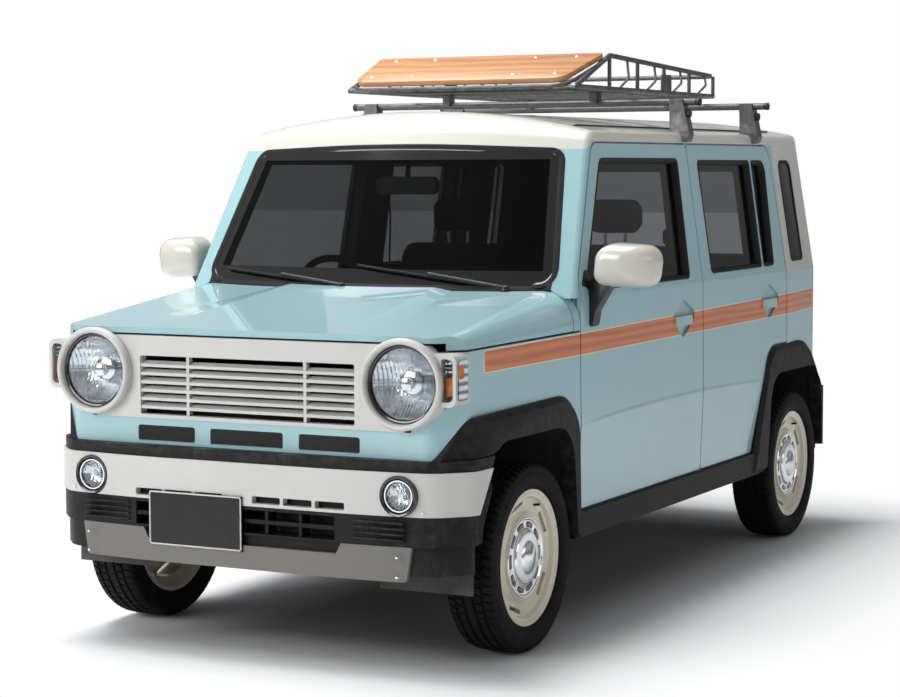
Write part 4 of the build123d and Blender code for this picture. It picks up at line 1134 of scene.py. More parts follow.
class KEI_OT_seals(Piece):
    """Rubber seals round the glass, and the black mouldings along the roof"""

    bl_idname = "kei.seals"
    bl_label = "Seals and mouldings"

    def build(self, context):
        reveal = (
            (0.0065, 0.0015), (0.0035, 0.0028), (-0.0015, 0.0012), (-0.0075, -0.006), (-0.011, -0.0205),
            (-0.007, -0.0225), (0.0015, -0.0225), (0.0015, -0.004),
        )
        flush = (
            (0.009, -0.0008), (0.0065, 0.0020), (-0.001, 0.0022), (-0.006, 0.0004), (-0.005, -0.007),
            (0.004, -0.007),
        )
        screen = (
            (0.010, -0.001), (0.0075, 0.0030), (-0.004, 0.0034), (-0.011, 0.0006), (-0.009, -0.007),
            (0.004, -0.007),
        )
        for name, side in SIDES:
            for label, corners, body in (
                ("front", FRONT_WINDOW, f"door_front_{name}"), ("rear", REAR_WINDOW, f"door_rear_{name}"),
                ("vent", REAR_VENT, f"door_rear_{name}"),
            ):
                surface_strip(
                    f"seal_{label}_{name}", corners, lambda y, z, lift: side_spot(y, z, lift, side), reveal,
                    "seal_rubber", body,
                )
            surface_strip(
                f"seal_quarter_{name}", QUARTER_WINDOW, lambda y, z, lift: side_spot(y, z, lift, side), flush,
                "seal_rubber", "body",
            )
            self.ditch(name, side)
            self.belt(name, side)
        surface_strip("seal_windscreen", WINDSCREEN, screen_spot, screen, "gloss_black", "body", steps=10)
        surface_strip("seal_tail_window", TAIL_WINDOW, rear_spot, flush, "seal_rubber", "tailgate", steps=8)

    def ditch(self, name, side):
        """Black moulding from the windscreen's top corner back along the roof."""
        run = []
        for k in range(25):
            y = -0.560 + 1.960 * k / 24
            x = 0.556 - 0.004 * k / 24
            z = ROOF_Z - x * x / 5.8 + 0.0005
            if y < BROW_Y:
                z -= (BROW_Y - y) * 0.35
            run.append((side * x, y, z))
        place(tube_line(f"roof_moulding_{name}", run, 0.0042, "black_trim"), "body")

    def belt(self, name, side):
        """Wiping strip at the foot of each door's glass."""
        for label, y0, y1, z, body in (
            ("front", -0.742, 0.128, 1.0865, f"door_front_{name}"),
            ("rear", 0.372, 0.880, 1.0945, f"door_rear_{name}"),
        ):
            run = [side_spot(y0 + (y1 - y0) * k / 12, z, -0.012, side) for k in range(13)]
            place(tube_line(f"belt_strip_{label}_{name}", run, 0.0048, "seal_rubber"), body)


class KEI_OT_tyres(Piece):
    """Tyres with ribbed walls, four grooves and cut blocks"""

    bl_idname = "kei.tyres"
    bl_label = "Tyres"

    def build(self, context):
        sizes = context.scene.kei_tyres
        mesh = None
        for name, x, y in WHEELS:
            if mesh is None:
                piece = self.tyre(sizes)
                mesh = piece.data
            else:
                piece = bpy.data.objects.new("tyre", mesh)
                context.scene.collection.objects.link(piece)
            piece.name = f"treaded_tyre_{name}"
            piece.location = (x, y, HUB_Z)
            if x < 0:
                piece.rotation_euler.z = pi
            place(piece, f"wheel_{name}", "tyre", (f"tyre_{name}",))

    def rows(self, groove):
        """(across, radius, cut radius, slant) from the outer bead over the tread to the inner one."""
        wall = [
            (0.0560, 0.1925), (0.0600, 0.2000), (0.0668, 0.2075), (0.0722, 0.2140), (0.0752, 0.2150),
            (0.0760, 0.2165), (0.0750, 0.2190), (0.0782, 0.2270), (0.0806, 0.2370), (0.0815, 0.2470),
            (0.0810, 0.2560), (0.0804, 0.2600), (0.0794, 0.2606), (0.0793, 0.2626), (0.0799, 0.2634),
            (0.0786, 0.2690),
        ]
        tread = [
            (0.0786, 0.2700, 0.2700), (0.0770, 0.2760, 0.2735), (0.0738, 0.2812, 0.2770),
            (0.0690, 0.2848, 0.2795), (0.0620, 0.2870, 0.2812), (0.0540, 0.2882, 0.2820),
            (0.0488, 0.2886, 0.2822), (0.0478, 0.2888 - groove, 0.2818), (0.0412, 0.2890 - groove, 0.2820),
            (0.0400, 0.2891, 0.2832), (0.0310, 0.2894, 0.2836), (0.0212, 0.2895, 0.2838),
            (0.0200, 0.2895 - groove, 0.2830), (0.0122, 0.2895 - groove, 0.2830), (0.0110, 0.2895, 0.2870),
            (0.0000, 0.2895, 0.2895),
        ]
        half = [(a, r, r) for a, r in wall] + tread
        return half + [(-a, r, c) for a, r, c in half[-2::-1]]

    def tyre(self, sizes):
        groove = sizes.groove
        pitch = 2 * pi / sizes.pitches
        shares = (0.0, 0.66, 0.74, 0.92)
        bm = bmesh.new()
        loops = []
        for across, radius, cut in self.rows(groove):
            loop = []
            slant = across * 0.9 + (0.5 * pitch if 0.015 < abs(across) < 0.045 else 0)
            for block in range(sizes.pitches):
                for column, share in enumerate(shares):
                    angle = (block + share) * pitch + slant
                    depth = cut if column in (2, 3) else radius
                    if column in (0, 1) and 0.262 < radius < 0.268 and block % 2:
                        depth = radius
                    loop.append(bm.verts.new((across, depth * cos(angle), depth * sin(angle))))
            loops.append(loop)
        count = len(loops[0])
        for low, high in zip(loops, loops[1:]):
            for i in range(count):
                j = (i + 1) % count
                bm.faces.new((low[i], low[j], high[j], high[i]))
        inner, outer = loops[-1], loops[0]
        for i in range(count):
            j = (i + 1) % count
            bm.faces.new((inner[i], inner[j], outer[j], outer[i]))
        return mesh_piece("tyre", bm, "tyre_rubber", angle=32)


class KEI_OT_wheel_caps(Piece):
    """Chromed caps, their dark slots, rim edges and valves"""

    bl_idname = "kei.wheel_caps"
    bl_label = "Wheel caps"

    def build(self, context):
        for name, x, y in WHEELS:
            side = 1 if x > 0 else -1
            spot = lambda across, radius, angle: (
                x + side * across, y + radius * cos(angle), HUB_Z + radius * sin(angle),
            )
            bm = bmesh.new()
            profile = (
                (0.0470, 0.1240), (0.0545, 0.1232), (0.0568, 0.1212), (0.0566, 0.1175), (0.0530, 0.1135),
                (0.0525, 0.1100), (0.0528, 0.0880), (0.0545, 0.0835), (0.0600, 0.0810), (0.0625, 0.0780),
                (0.0648, 0.0640), (0.0640, 0.0560), (0.0652, 0.0500), (0.0690, 0.0460), (0.0712, 0.0400),
                (0.0740, 0.0300), (0.0775, 0.0160), (0.0795, 0.0),
            )
            turned(bm, profile, 96, spot)
            place(mesh_piece(f"wheel_cap_{name}", bm, "chrome", angle=24), f"wheel_{name}")
            # Dark slabs laid on the ring: painted shade standing in for the slots' openings.
            bm = bmesh.new()
            for k in range(10):
                self.slot(bm, x, y, side, 2 * pi * k / 10)
            place(mesh_piece(f"cap_slot_shade_slabs_{name}", bm, "gloss_black"), f"wheel_{name}")
            place(
                shaped(
                    f"rim_edge_{name}", "cream_paint", turned,
                    (
                        (0.0655, 0.2088), (0.0672, 0.2094), (0.0690, 0.2080), (0.0688, 0.2040),
                        (0.0665, 0.2000), (0.0640, 0.1960), (0.0630, 0.1975),
                    ),
                    96, spot, closed=True,
                ),
                f"wheel_{name}",
            )
            valve = [spot(0.046, 0.168, 1.1), spot(0.066, 0.171, 1.1)]
            place(tube_line(f"valve_{name}", valve, 0.0040, "seal_rubber"), f"wheel_{name}")

    def slot(self, bm, x, y, side, angle):
        """One dark slab in the cap's ring, painted shade in place of an opening."""
        points = rounded(
            [
                (-0.0205, 0.0905, 0.006), (0.0, 0.0925, 0.006), (0.0205, 0.0905, 0.006),
                (0.0235, 0.1065, 0.006), (0.0, 0.1105, 0.006), (-0.0235, 0.1065, 0.006),
            ],
            3,
        )

        def spot(point, depth):
            a, r = point.x, point.y
            return (
                x + side * depth, y + r * cos(angle) - a * sin(angle),
                HUB_Z + r * sin(angle) + a * cos(angle),
            )

        prism(
            bm, points, lambda p, i: spot(p, 0.0505), lambda p, i: spot(p, 0.0532 + 0.0006 * (1 - i)), 0.0012,
        )


class KEI_OT_front_lamps(Piece):
    """Round headlamps, side lamps and fog lamps with lens, reflector and bulb"""

    bl_idname = "kei.front_lamps"
    bl_label = "Front lamps"

    def build(self, context):
        for name, side in SIDES:
            self.head(name, side, ("front_lamps",) if side > 0 else ())
            self.side_lamp(name, side)
            self.fog(name, side, ("fog_lamps",) if side > 0 else ())

    def head(self, name, side, instead):
        spot = about_y(side * LAMP_X, LAMP_Z)
        bm = bmesh.new()
        dome = [(-1.6500 - 0.0185 * (1 - (k / 12) ** 2), 0.1060 * k / 12) for k in range(13)]
        inner = [(a + 0.0028, max(0.0, r - 0.0002)) for a, r in dome[::-1]]
        turned(bm, dome + [(-1.6440, 0.1060), (-1.6440, 0.1040)] + inner[1:], 72, spot)
        place(mesh_piece(f"headlamp_lens_{name}", bm, "lens_glass"), "body", "lamp_glass", instead)
        bm = bmesh.new()
        bowl = [(-1.6420 + 0.062 * (1 - (k / 8) ** 2), 0.1035 * k / 8) for k in range(9)]
        back = [(a + 0.003, r) for a, r in bowl[::-1]]
        turned(bm, bowl + back, 28, spot)
        place(mesh_piece(f"headlamp_bowl_{name}", bm, "lamp_mirror", smooth=False), "body")
        bm = bmesh.new()
        shield = [
            (-1.6340, 0.0), (-1.6335, 0.0120), (-1.6300, 0.0190), (-1.6180, 0.0205), (-1.5990, 0.0190),
            (-1.5990, 0.0150), (-1.6240, 0.0150), (-1.6250, 0.0),
        ]
        turned(bm, shield, 40, spot)
        turned(
            bm, [(-1.5860, 0.0), (-1.5860, 0.034), (-1.5960, 0.036), (-1.6000, 0.030), (-1.5990, 0.0)], 40,
            spot,
        )
        place(mesh_piece(f"headlamp_bulb_{name}", bm, "chrome"), "body")
        bm = bmesh.new()
        groove = [
            (-1.6435, 0.1150), (-1.6490, 0.1145), (-1.6510, 0.1110), (-1.6495, 0.1062), (-1.6420, 0.1055),
            (-1.6400, 0.1100),
        ]
        turned(bm, groove, 72, spot, closed=True)
        place(mesh_piece(f"headlamp_gasket_{name}", bm, "gloss_black"), "body")
        bm = bmesh.new()
        ring = [
            (-1.6500, 0.1148), (-1.6610, 0.1152), (-1.6655, 0.1168), (-1.6690, 0.1200), (-1.6702, 0.1245),
            (-1.6688, 0.1290), (-1.6650, 0.1322), (-1.6600, 0.1336), (-1.6500, 0.1338),
        ]
        turned(bm, ring, 96, spot, closed=True)
        place(mesh_piece(f"headlamp_ring_{name}", bm, "silver_paint", angle=60), "body")

    def side_lamp(self, name, side):
        def flat(corners):
            points = rounded(corners, 5)
            return flipped(points, side)

        bm = bmesh.new()
        lens = [
            (0.6655, 0.8075, 0.010), (0.7005, 0.8075, 0.016), (0.7005, 0.9285, 0.016),
            (0.6655, 0.9285, 0.010),
        ]
        slab(bm, flat(lens), "Y", -1.6420, -1.6545, 0.0030)
        place(mesh_piece(f"side_lamp_lens_{name}", bm, "lens_glass"), "body", "lamp_glass")
        bm = bmesh.new()
        inner = [
            (0.6705, 0.8200, 0.008), (0.6955, 0.8200, 0.012), (0.6955, 0.8760, 0.012),
            (0.6705, 0.8760, 0.008),
        ]
        slab(bm, flat(inner), "Y", -1.6000, -1.6360, 0.0040)
        place(mesh_piece(f"side_lamp_amber_{name}", bm, "amber_lens"), "body")
        bm = bmesh.new()
        slab(bm, flat(lens), "Y", -1.5900, -1.5980, 0.0010)
        for k in range(3):
            z = 0.8880 + 0.012 * k
            rib = [
                (0.6680, z, 0.002), (0.6980, z, 0.002), (0.6980, z + 0.007, 0.002),
                (0.6680, z + 0.007, 0.002),
            ]
            slab(bm, flat(rib), "Y", -1.5985, -1.6320 - 0.003 * (k % 2), 0.0012)
        place(mesh_piece(f"side_lamp_mirror_{name}", bm, "lamp_mirror"), "body")
        pod = (
            ("lens", "lens_glass", (-1.6400, -1.5760), (0.8080, 0.9280), 0.7124, 0.7162, 0.014),
            ("backing", "lamp_mirror", (-1.6380, -1.5780), (0.8100, 0.9260), 0.7112, 0.7126, 0.012),
            ("flasher", "amber_lens", (-1.6360, -1.6040), (0.8720, 0.9120), 0.7120, 0.7140, 0.006),
        )
        for part, finish, (y0, y1), (z0, z1), low, high, bend in pod:
            bm = bmesh.new()
            edge = oblong(y0, z0, y1, z1, bend, 5)
            slab(bm, edge, "X", side * low, side * high, 0.0006)
            place(mesh_piece(f"side_lamp_pod_{part}_{name}", bm, finish), "body")

    def fog(self, name, side, instead):
        spot = about_y(side * 0.538, 0.532)
        bm = bmesh.new()
        ring = [
            (-1.6450, 0.0592), (-1.6790, 0.0592), (-1.6805, 0.0575), (-1.6790, 0.0520), (-1.6700, 0.0468),
            (-1.6450, 0.0460),
        ]
        turned(bm, ring, 64, spot, closed=True)
        place(mesh_piece(f"fog_lamp_ring_{name}", bm, "gloss_black"), "body", None, instead)
        bm = bmesh.new()
        chrome = [(-1.6700, 0.0470), (-1.6745, 0.0462), (-1.6745, 0.0430), (-1.6690, 0.0415)]
        turned(bm, chrome, 64, spot, closed=True)
        place(mesh_piece(f"fog_lamp_trim_{name}", bm, "chrome"), "body")
        bm = bmesh.new()
        dome = [(-1.6660 - 0.0075 * (1 - (k / 8) ** 2), 0.0425 * k / 8) for k in range(9)]
        turned(bm, dome + [(-1.6630, 0.0425), (-1.6680, 0.0)], 48, spot)
        place(mesh_piece(f"fog_lamp_lens_{name}", bm, "lens_glass"), "body", "lamp_glass")
        bm = bmesh.new()
        bowl = [(-1.6620 + 0.022 * (1 - (k / 6) ** 2), 0.0420 * k / 6) for k in range(7)]
        turned(bm, bowl + [(a + 0.002, r) for a, r in bowl[::-1]], 18, spot)
        turned(
            bm, [(-1.6590, 0.0), (-1.6585, 0.008), (-1.6500, 0.010), (-1.6420, 0.010), (-1.6420, 0.0)], 24,
            spot,
        )
        place(mesh_piece(f"fog_lamp_bowl_{name}", bm, "lamp_mirror", smooth=False), "body")


class KEI_OT_front_trim(Piece):
    """Ribbed vents, radiator, plate frame, rivets and bumper ribs"""

    bl_idname = "kei.front_trim"
    bl_label = "Front trim"

    def build(self, context):
        bm = bmesh.new()
        for x0, x1 in ((-0.128, 0.128), (0.183, 0.390), (-0.390, -0.183)):
            slab(bm, oblong(x0 + 0.001, 0.643, x1 - 0.001, 0.689, 0.007, 4), "Y", -1.6265, -1.6285, 0.0005)
            for k in range(7):
                z = 0.6475 + 0.0058 * k
                slab(
                    bm, oblong(x0 + 0.004, z, x1 - 0.004, z + 0.0026, 0.001, 2), "Y", -1.6280, -1.6340,
                    0.0005,
                )
        place(mesh_piece("nose_vents", bm, "black_trim"), "body")
        bm = bmesh.new()
        for z0, z1 in ((0.480, 0.845),):
            slab(bm, oblong(-0.330, z0, 0.330, z1, 0.004, 2), "Y", -1.5860, -1.6000, 0.002)
        place(mesh_piece("radiator", bm, "radiator_fins"), "body")
        self.plate()
        self.rivets()
        self.ribs()

    def plate(self):
        """Raised border of the blank plate."""
        outer = oblong(-0.3095, 0.3365, 0.0195, 0.4995, 0.008, 4)
        normals = outward(outer)
        bm = bmesh.new()
        section = ((0.0, -1.6960), (0.0, -1.6985), (-0.0020, -1.6995), (-0.0040, -1.6990), (-0.0048, -1.6972))
        rings(
            bm, [[(p.x + n.x * o, y, p.y + n.y * o) for p, n in zip(outer, normals)] for o, y in section],
            closed_across=True,
        )
        place(mesh_piece("plate_border", bm, "silver_paint"), "body", "silver_paint")

    def rivets(self):
        bm = bmesh.new()
        heads = [(s * 0.541, -1.6905, z, 0.0050) for s in (-1, 1) for z in (0.358, 0.300)]
        heads += [(s * 0.612, -1.664, 0.488, 0.0045) for s in (-1, 1)]
        for x, y, z, radius in heads:
            profile = [
                (y + 0.004, radius), (y - 0.0015, radius), (y - 0.0036, radius * 0.72), (y - 0.0042, 0.0),
            ]
            turned(bm, profile, 20, about_y(x, z))
        place(mesh_piece("front_rivets", bm, "chrome"), "body")

    def ribs(self):
        """Shallow horizontal ribs over the lower bumper, beside the grid."""
        bm = bmesh.new()
        for side in (-1, 1):
            for k in range(4):
                z = 0.402 + 0.0165 * k
                low, high = 0.392, 0.560
                rib = [
                    Vector((side * low, z)), Vector((side * high, z)), Vector((side * high, z + 0.0065)),
                    Vector((side * low, z + 0.0065)),
                ]
                slab(bm, rib, "Y", -1.6700, -1.6885, 0.0012)
        place(mesh_piece("bumper_ribs", bm, "charcoal_plastic"), "body")


class KEI_OT_mirrors(Piece):
    """Door mirrors with a white cap, a black foot and a silvered glass"""

    bl_idname = "kei.mirrors"
    bl_label = "Door mirrors"

    def build(self, context):
        for name, side in SIDES:
            body = f"door_front_{name}"
            housing = rounded(
                [(0.748, 1.092, 0.034), (0.930, 1.090, 0.044), (0.946, 1.222, 0.052), (0.762, 1.236, 0.054)],
                8,
            )
            centre = Vector((0.846, 1.164))
            stations = (
                (-0.7800, 0.26, -0.040), (-0.7785, 0.46, -0.037), (-0.7740, 0.64, -0.031),
                (-0.7660, 0.79, -0.024), (-0.7540, 0.89, -0.016), (-0.7390, 0.950, -0.009),
                (-0.7210, 0.985, -0.004), (-0.7000, 1.0, 0.0), (-0.6750, 0.996, 0.0), (-0.6580, 0.985, 0.0),
                (-0.6535, 0.968, 0.0), (-0.6530, 0.945, 0.0),
            )
            bm = bmesh.new()
            loops = []
            for y, scale, shift in stations:
                spots = [centre + (p - centre) * scale for p in housing]
                loops.append([(side * (spot.x + shift), y, spot.y) for spot in spots])
            rings(bm, loops)
            place(
                mesh_piece(f"mirror_cap_{name}", bm, "mirror_white", angle=50), body, "white_paint",
                (f"door_mirror_{name}",),
            )
            bm = bmesh.new()
            glass = rounded(
                [(0.766, 1.124, 0.022), (0.930, 1.121, 0.030), (0.940, 1.214, 0.036), (0.780, 1.221, 0.038)],
                6,
            )
            slab(bm, flipped(glass, side), "Y", -0.6600, -0.6512, 0.002)
            place(mesh_piece(f"mirror_glass_{name}", bm, "chrome"), body)
            self.foot(name, side, body)

    def foot(self, name, side, body):
        arm = rounded(
            [
                (0.7120, 0.966, 0), (0.7325, 0.964, 0.006), (0.7400, 1.012, 0.040), (0.7970, 1.106, 0.030),
                (0.8180, 1.130, 0.010), (0.7740, 1.146, 0.012), (0.7080, 1.104, 0),
            ],
            6,
        )
        middle = Vector((0.745, 1.06))
        bm = bmesh.new()
        loops = []
        for y, scale in (
            (-0.7410, 0.93), (-0.7380, 0.985), (-0.7320, 1.0), (-0.6960, 1.0), (-0.6900, 0.985),
            (-0.6870, 0.93),
        ):
            loops.append(
                [
                    (side * (middle + (p - middle) * scale).x, y, (middle + (p - middle) * scale).y)
                    for p in arm
                ]
            )
        rings(bm, loops)
        place(mesh_piece(f"mirror_foot_{name}", bm, "black_trim", angle=50), body)
        bm = bmesh.new()
        sail = rounded(
            [
                (-0.7880, 1.098, 0.006), (-0.7600, 1.092, 0.006), (-0.7380, 1.092, 0.004),
                (-0.7120, 1.128, 0.010), (-0.7520, 1.150, 0.016),
            ],
            4,
        )
        prism(
            bm, sail, lambda p, i: side_spot(p.x, p.y, -0.004, side),
            lambda p, i: side_spot(p.x, p.y, 0.0016 + 0.001 * (1 - i), side), 0.0015,
        )
        place(mesh_piece(f"mirror_sail_{name}", bm, "black_trim"), body)


class KEI_OT_wipers(Piece):
    """Wiper arms, blades and pivots at the windscreen's foot, and one behind"""

    bl_idname = "kei.wipers"
    bl_label = "Wipers"

    def build(self, context):
        for label, pivot, end in (
            ("driver", (-0.070, 1.086), (-0.560, 1.128)), ("passenger", (0.500, 1.086), (-0.030, 1.150)),
        ):
            base = screen_spot(*pivot, 0.012)
            tip = screen_spot((pivot[0] + end[0]) / 2, (pivot[1] + end[1]) / 2 + 0.006, 0.016)
            arm = bent([base - Vector((0, 0.002, 0.030)), base, base.lerp(tip, 0.30), tip], 0.03)
            place(tube_line(f"wiper_arm_{label}", arm, 0.0055, "black_trim"), "body")
            start, stop = Vector(pivot).lerp(Vector(end), 0.10), Vector(end)
            blade = [
                screen_spot(*start.lerp(stop, k / 20), 0.0085 + 0.0018 * sin(pi * k / 20))
                for k in range(21)
            ]
            place(tube_line(f"wiper_blade_{label}", blade, 0.0048, "seal_rubber"), "body")
            place(
                shaped(
                    f"wiper_pivot_{label}", "black_trim", turned,
                    [
                        (base.z - 0.034, 0.016), (base.z - 0.010, 0.016), (base.z + 0.004, 0.012),
                        (base.z + 0.008, 0.0),
                    ],
                    28,
                    lambda across, radius, angle: (
                        base.x + radius * cos(angle), base.y + radius * sin(angle) * 0.9, across,
                    ),
                ),
                "body",
            )
        rear = [rear_spot(0.02 - 0.33 * k / 12, 1.118 + 0.02 * sin(pi * k / 12), 0.014) for k in range(13)]
        place(tube_line("rear_wiper", rear, 0.0050, "seal_rubber"), "tailgate")
        bm = bmesh.new()
        spot = rear_spot(0.02, 1.112)
        turned(
            bm,
            [
                (spot.y - 0.002, 0.024), (spot.y + 0.014, 0.022), (spot.y + 0.022, 0.012),
                (spot.y + 0.023, 0.0),
            ],
            32, about_y(spot.x, spot.z),
        )
        place(mesh_piece("rear_wiper_pivot", bm, "black_trim"), "tailgate")


def liner(name, path, x0, x1, thick):
    """Curved sheet along a side-view path, closed at both ends."""
    bm = bmesh.new()
    rows = []
    for i, point in enumerate(path):
        before, after = path[max(0, i - 1)], path[min(len(path) - 1, i + 1)]
        along = (after - before).normalized()
        normal = Vector((-along.y, along.x)) * thick
        rows.append([(x0, *point), (x1, *point), (x1, *(point + normal)), (x0, *(point + normal))])
    rings(bm, rows)
    return mesh_piece(name, bm, "inner_paint")


class KEI_OT_arch_trim(Piece):
    """Arch cladding whose front ends run out into the nose"""

    bl_idname = "kei.arch_trim"
    bl_label = "Arch cladding"

    def build(self, context):
        for name, side in SIDES:
            node = f"cladding_{name}"
            bm = bmesh.new()
            bm.from_mesh(NODES[node].data)
            bmesh.ops.remove_doubles(bm, verts=bm.verts, dist=1e-5)
            for (x0, y0), (x1, y1) in (
                ((0.7375, -1.475), (0.7060, -1.555)), ((0.7060, -1.555), (0.655, -1.625)),
            ):
                along = Vector((side * (x1 - x0), y1 - y0, 0))
                out = Vector((along.y, -along.x, 0)) * -side
                cut = bmesh.ops.bisect_plane(
                    bm, geom=bm.verts[:] + bm.edges[:] + bm.faces[:], plane_co=(side * x0, y0, 0),
                    plane_no=out, clear_outer=True,
                )
                edges = [e for e in cut["geom_cut"] if isinstance(e, bmesh.types.BMEdge)]
                bmesh.ops.holes_fill(bm, edges=edges)
            place(
                mesh_piece(f"arch_trim_{name}", bm, "charcoal_plastic", angle=24), "body", "charcoal_trim",
                (node,),
            )


class KEI_OT_underside(Piece):
    """Arch liners under the body"""

    bl_idname = "kei.underside"
    bl_label = "Arch liners"

    def build(self, context):
        front = [
            (0.326, 0.020, 0), (0.276, 0.386, 0.130), (-0.268, 0.386, 0.090), (-0.344, 0.140, 0.060),
            (-0.350, -0.060, 0),
        ]
        rear = [(0.352, 0.020, 0), (0.292, 0.386, 0.120), (-0.292, 0.386, 0.120), (-0.358, 0.020, 0)]
        for name, side in SIDES:
            for label, corners, y, inner in (("front", front, -1.1675, 0.392), ("rear", rear, 1.2575, 0.486)):
                path = [Vector((p.x + y, p.y + HUB_Z)) for p in rounded(corners, 10)]
                place(liner(f"arch_liner_{label}_{name}", path, side * inner, side * 0.6995, -0.004), "body")


class KEI_OT_rack(Piece):
    """Wind board, its frame, and the fittings of the roof rack"""

    bl_idname = "kei.rack"
    bl_label = "Roof rack"

    def build(self, context):
        foot, head = Vector((-0.262, 1.762)), Vector((0.006, 1.856))
        along = (head - foot).normalized()
        normal = Vector((-along.y, along.x))
        reach = (head - foot).length

        def on_board(x, up, out=0.0):
            spot = foot + along * up - normal * -out
            return (x, spot.x, spot.y)

        shape = rounded(
            [(-0.408, 0, 0.055), (0.408, 0, 0.055), (0.446, reach, 0.012), (-0.446, reach, 0.012)], 8,
        )
        place(
            shaped(
                "wind_board", "board_wood", prism, shape,
                lambda p, i: on_board(p.x, p.y, -0.004 + 0.003 * i - 0.003),
                lambda p, i: on_board(p.x, p.y, 0.012 - 0.003 * i + 0.003), 0.004,
            ),
            "body", "tan_board", ("rack_board",),
        )
        edge = [
            on_board(p.x, p.y, -0.012)
            for p in rounded(
                [(-0.420, -0.010, 0.070), (0.420, -0.010, 0.070), (0.452, reach, 0), (-0.452, reach, 0)], 8,
            )
        ]
        place(tube_line("board_frame", edge, 0.0065, "rack_steel", cyclic=True), "body", "rack_steel")
        for side in (-1, 1):
            for k, y in enumerate((0.1875, 0.4425, 0.6975, 0.9525)):
                top = 1.862 - 0.040 * (y - 0.060) / 1.020
                kink = bent(
                    [
                        (side * 0.442, y - 0.050, 1.745), (side * 0.462, y, 1.785),
                        (side * 0.442, y + 0.030, top),
                    ],
                    0.02,
                )
                place(
                    tube_line(
                        f"rack_strut_{'left' if side > 0 else 'right'}_{k}", kink, 0.0045, "rack_steel",
                    ),
                    "body",
                )
            self.fittings(side)
        bm = bmesh.new()
        for side in (-1, 1):
            for x in (0.20, 0.36):
                for up in (0.05, reach - 0.04):
                    place_at = on_board(side * x, up, 0.013)
                    turned(
                        bm, [(0.0, 0.0075), (0.003, 0.0070), (0.0045, 0.0040), (0.0050, 0.0)], 18,
                        lambda across, radius, angle: (
                            place_at[0] + radius * cos(angle),
                            place_at[1] + normal.x * across + along.x * radius * sin(angle),
                            place_at[2] + normal.y * across + along.y * radius * sin(angle),
                        ),
                    )
        place(mesh_piece("board_bolts", bm, "chrome"), "body")

    def fittings(self, side):
        name = "left" if side > 0 else "right"
        bm = bmesh.new()
        plate = oblong(0.520, 1.752, 0.620, 1.812, 0.006, 4)
        slab(bm, plate, "X", side * 0.449, side * 0.453, 0.001)
        for y in (0.260, 0.980):
            for x in (0.300,):
                block = oblong(x - 0.020, y - 0.028, x + 0.020, y + 0.028, 0.004, 3)
                slab(bm, flipped(block, side), "Z", 1.7540, 1.7600, 0.0015)
        place(mesh_piece(f"rack_plate_{name}", bm, "rack_steel"), "body")
        for label, y in (("front", 0.260), ("rear", 0.980)):
            place(
                shaped(
                    f"bar_end_{label}_{name}", "black_trim", turned,
                    [(0.6900, 0.0), (0.6900, 0.0125), (0.7060, 0.0150), (0.7080, 0.0130), (0.7085, 0.0)], 24,
                    about_x(y, 1.700, side),
                ),
                "body",
            )
            place(
                shaped(
                    f"rack_knob_{label}_{name}", "black_trim", turned,
                    [(0.6440, 0.0), (0.6440, 0.0150), (0.6560, 0.0165), (0.6700, 0.0150), (0.6720, 0.0)], 7,
                    about_x(y, 1.660, side), angle=30,
                ),
                "body",
            )


class KEI_OT_tail(Piece):
    """Rear lamps' inner parts, tailgate pull, a black panel below it and reflectors"""

    bl_idname = "kei.tail"
    bl_label = "Rear trim"

    def build(self, context):
        for name, side in SIDES:
            bm = bmesh.new()
            for z0, z1 in ((0.806, 0.862), (0.868, 0.960), (0.966, 1.024)):
                panel = oblong(0.618, z0, 0.658, z1, 0.006, 4)
                slab(bm, flipped(panel, side), "Y", 1.6480, 1.6612, 0.002)
            place(mesh_piece(f"tail_lamp_cells_{name}", bm, "red_lens"), "body", "red_lens")
            bm = bmesh.new()
            reflector = oblong(0.470, 0.500, 0.610, 0.528, 0.006, 4)
            slab(bm, flipped(reflector, side), "Y", 1.6900, 1.6990, 0.002)
            place(mesh_piece(f"rear_reflector_{name}", bm, "red_lens"), "body")
        bm = bmesh.new()
        pull = oblong(-0.200, 0.700, 0.200, 0.742, 0.012, 5)
        slab(bm, pull, "Y", 1.6560, 1.6790, 0.004)
        place(mesh_piece("tailgate_pull", bm, "mirror_white"), "tailgate")
        bm = bmesh.new()
        frame_outline = oblong(-0.180, 0.590, 0.180, 0.690, 0.01, 4)
        slab(bm, frame_outline, "Y", 1.6560, 1.6640, 0.002)
        place(mesh_piece("tailgate_recess", bm, "black_trim"), "tailgate")


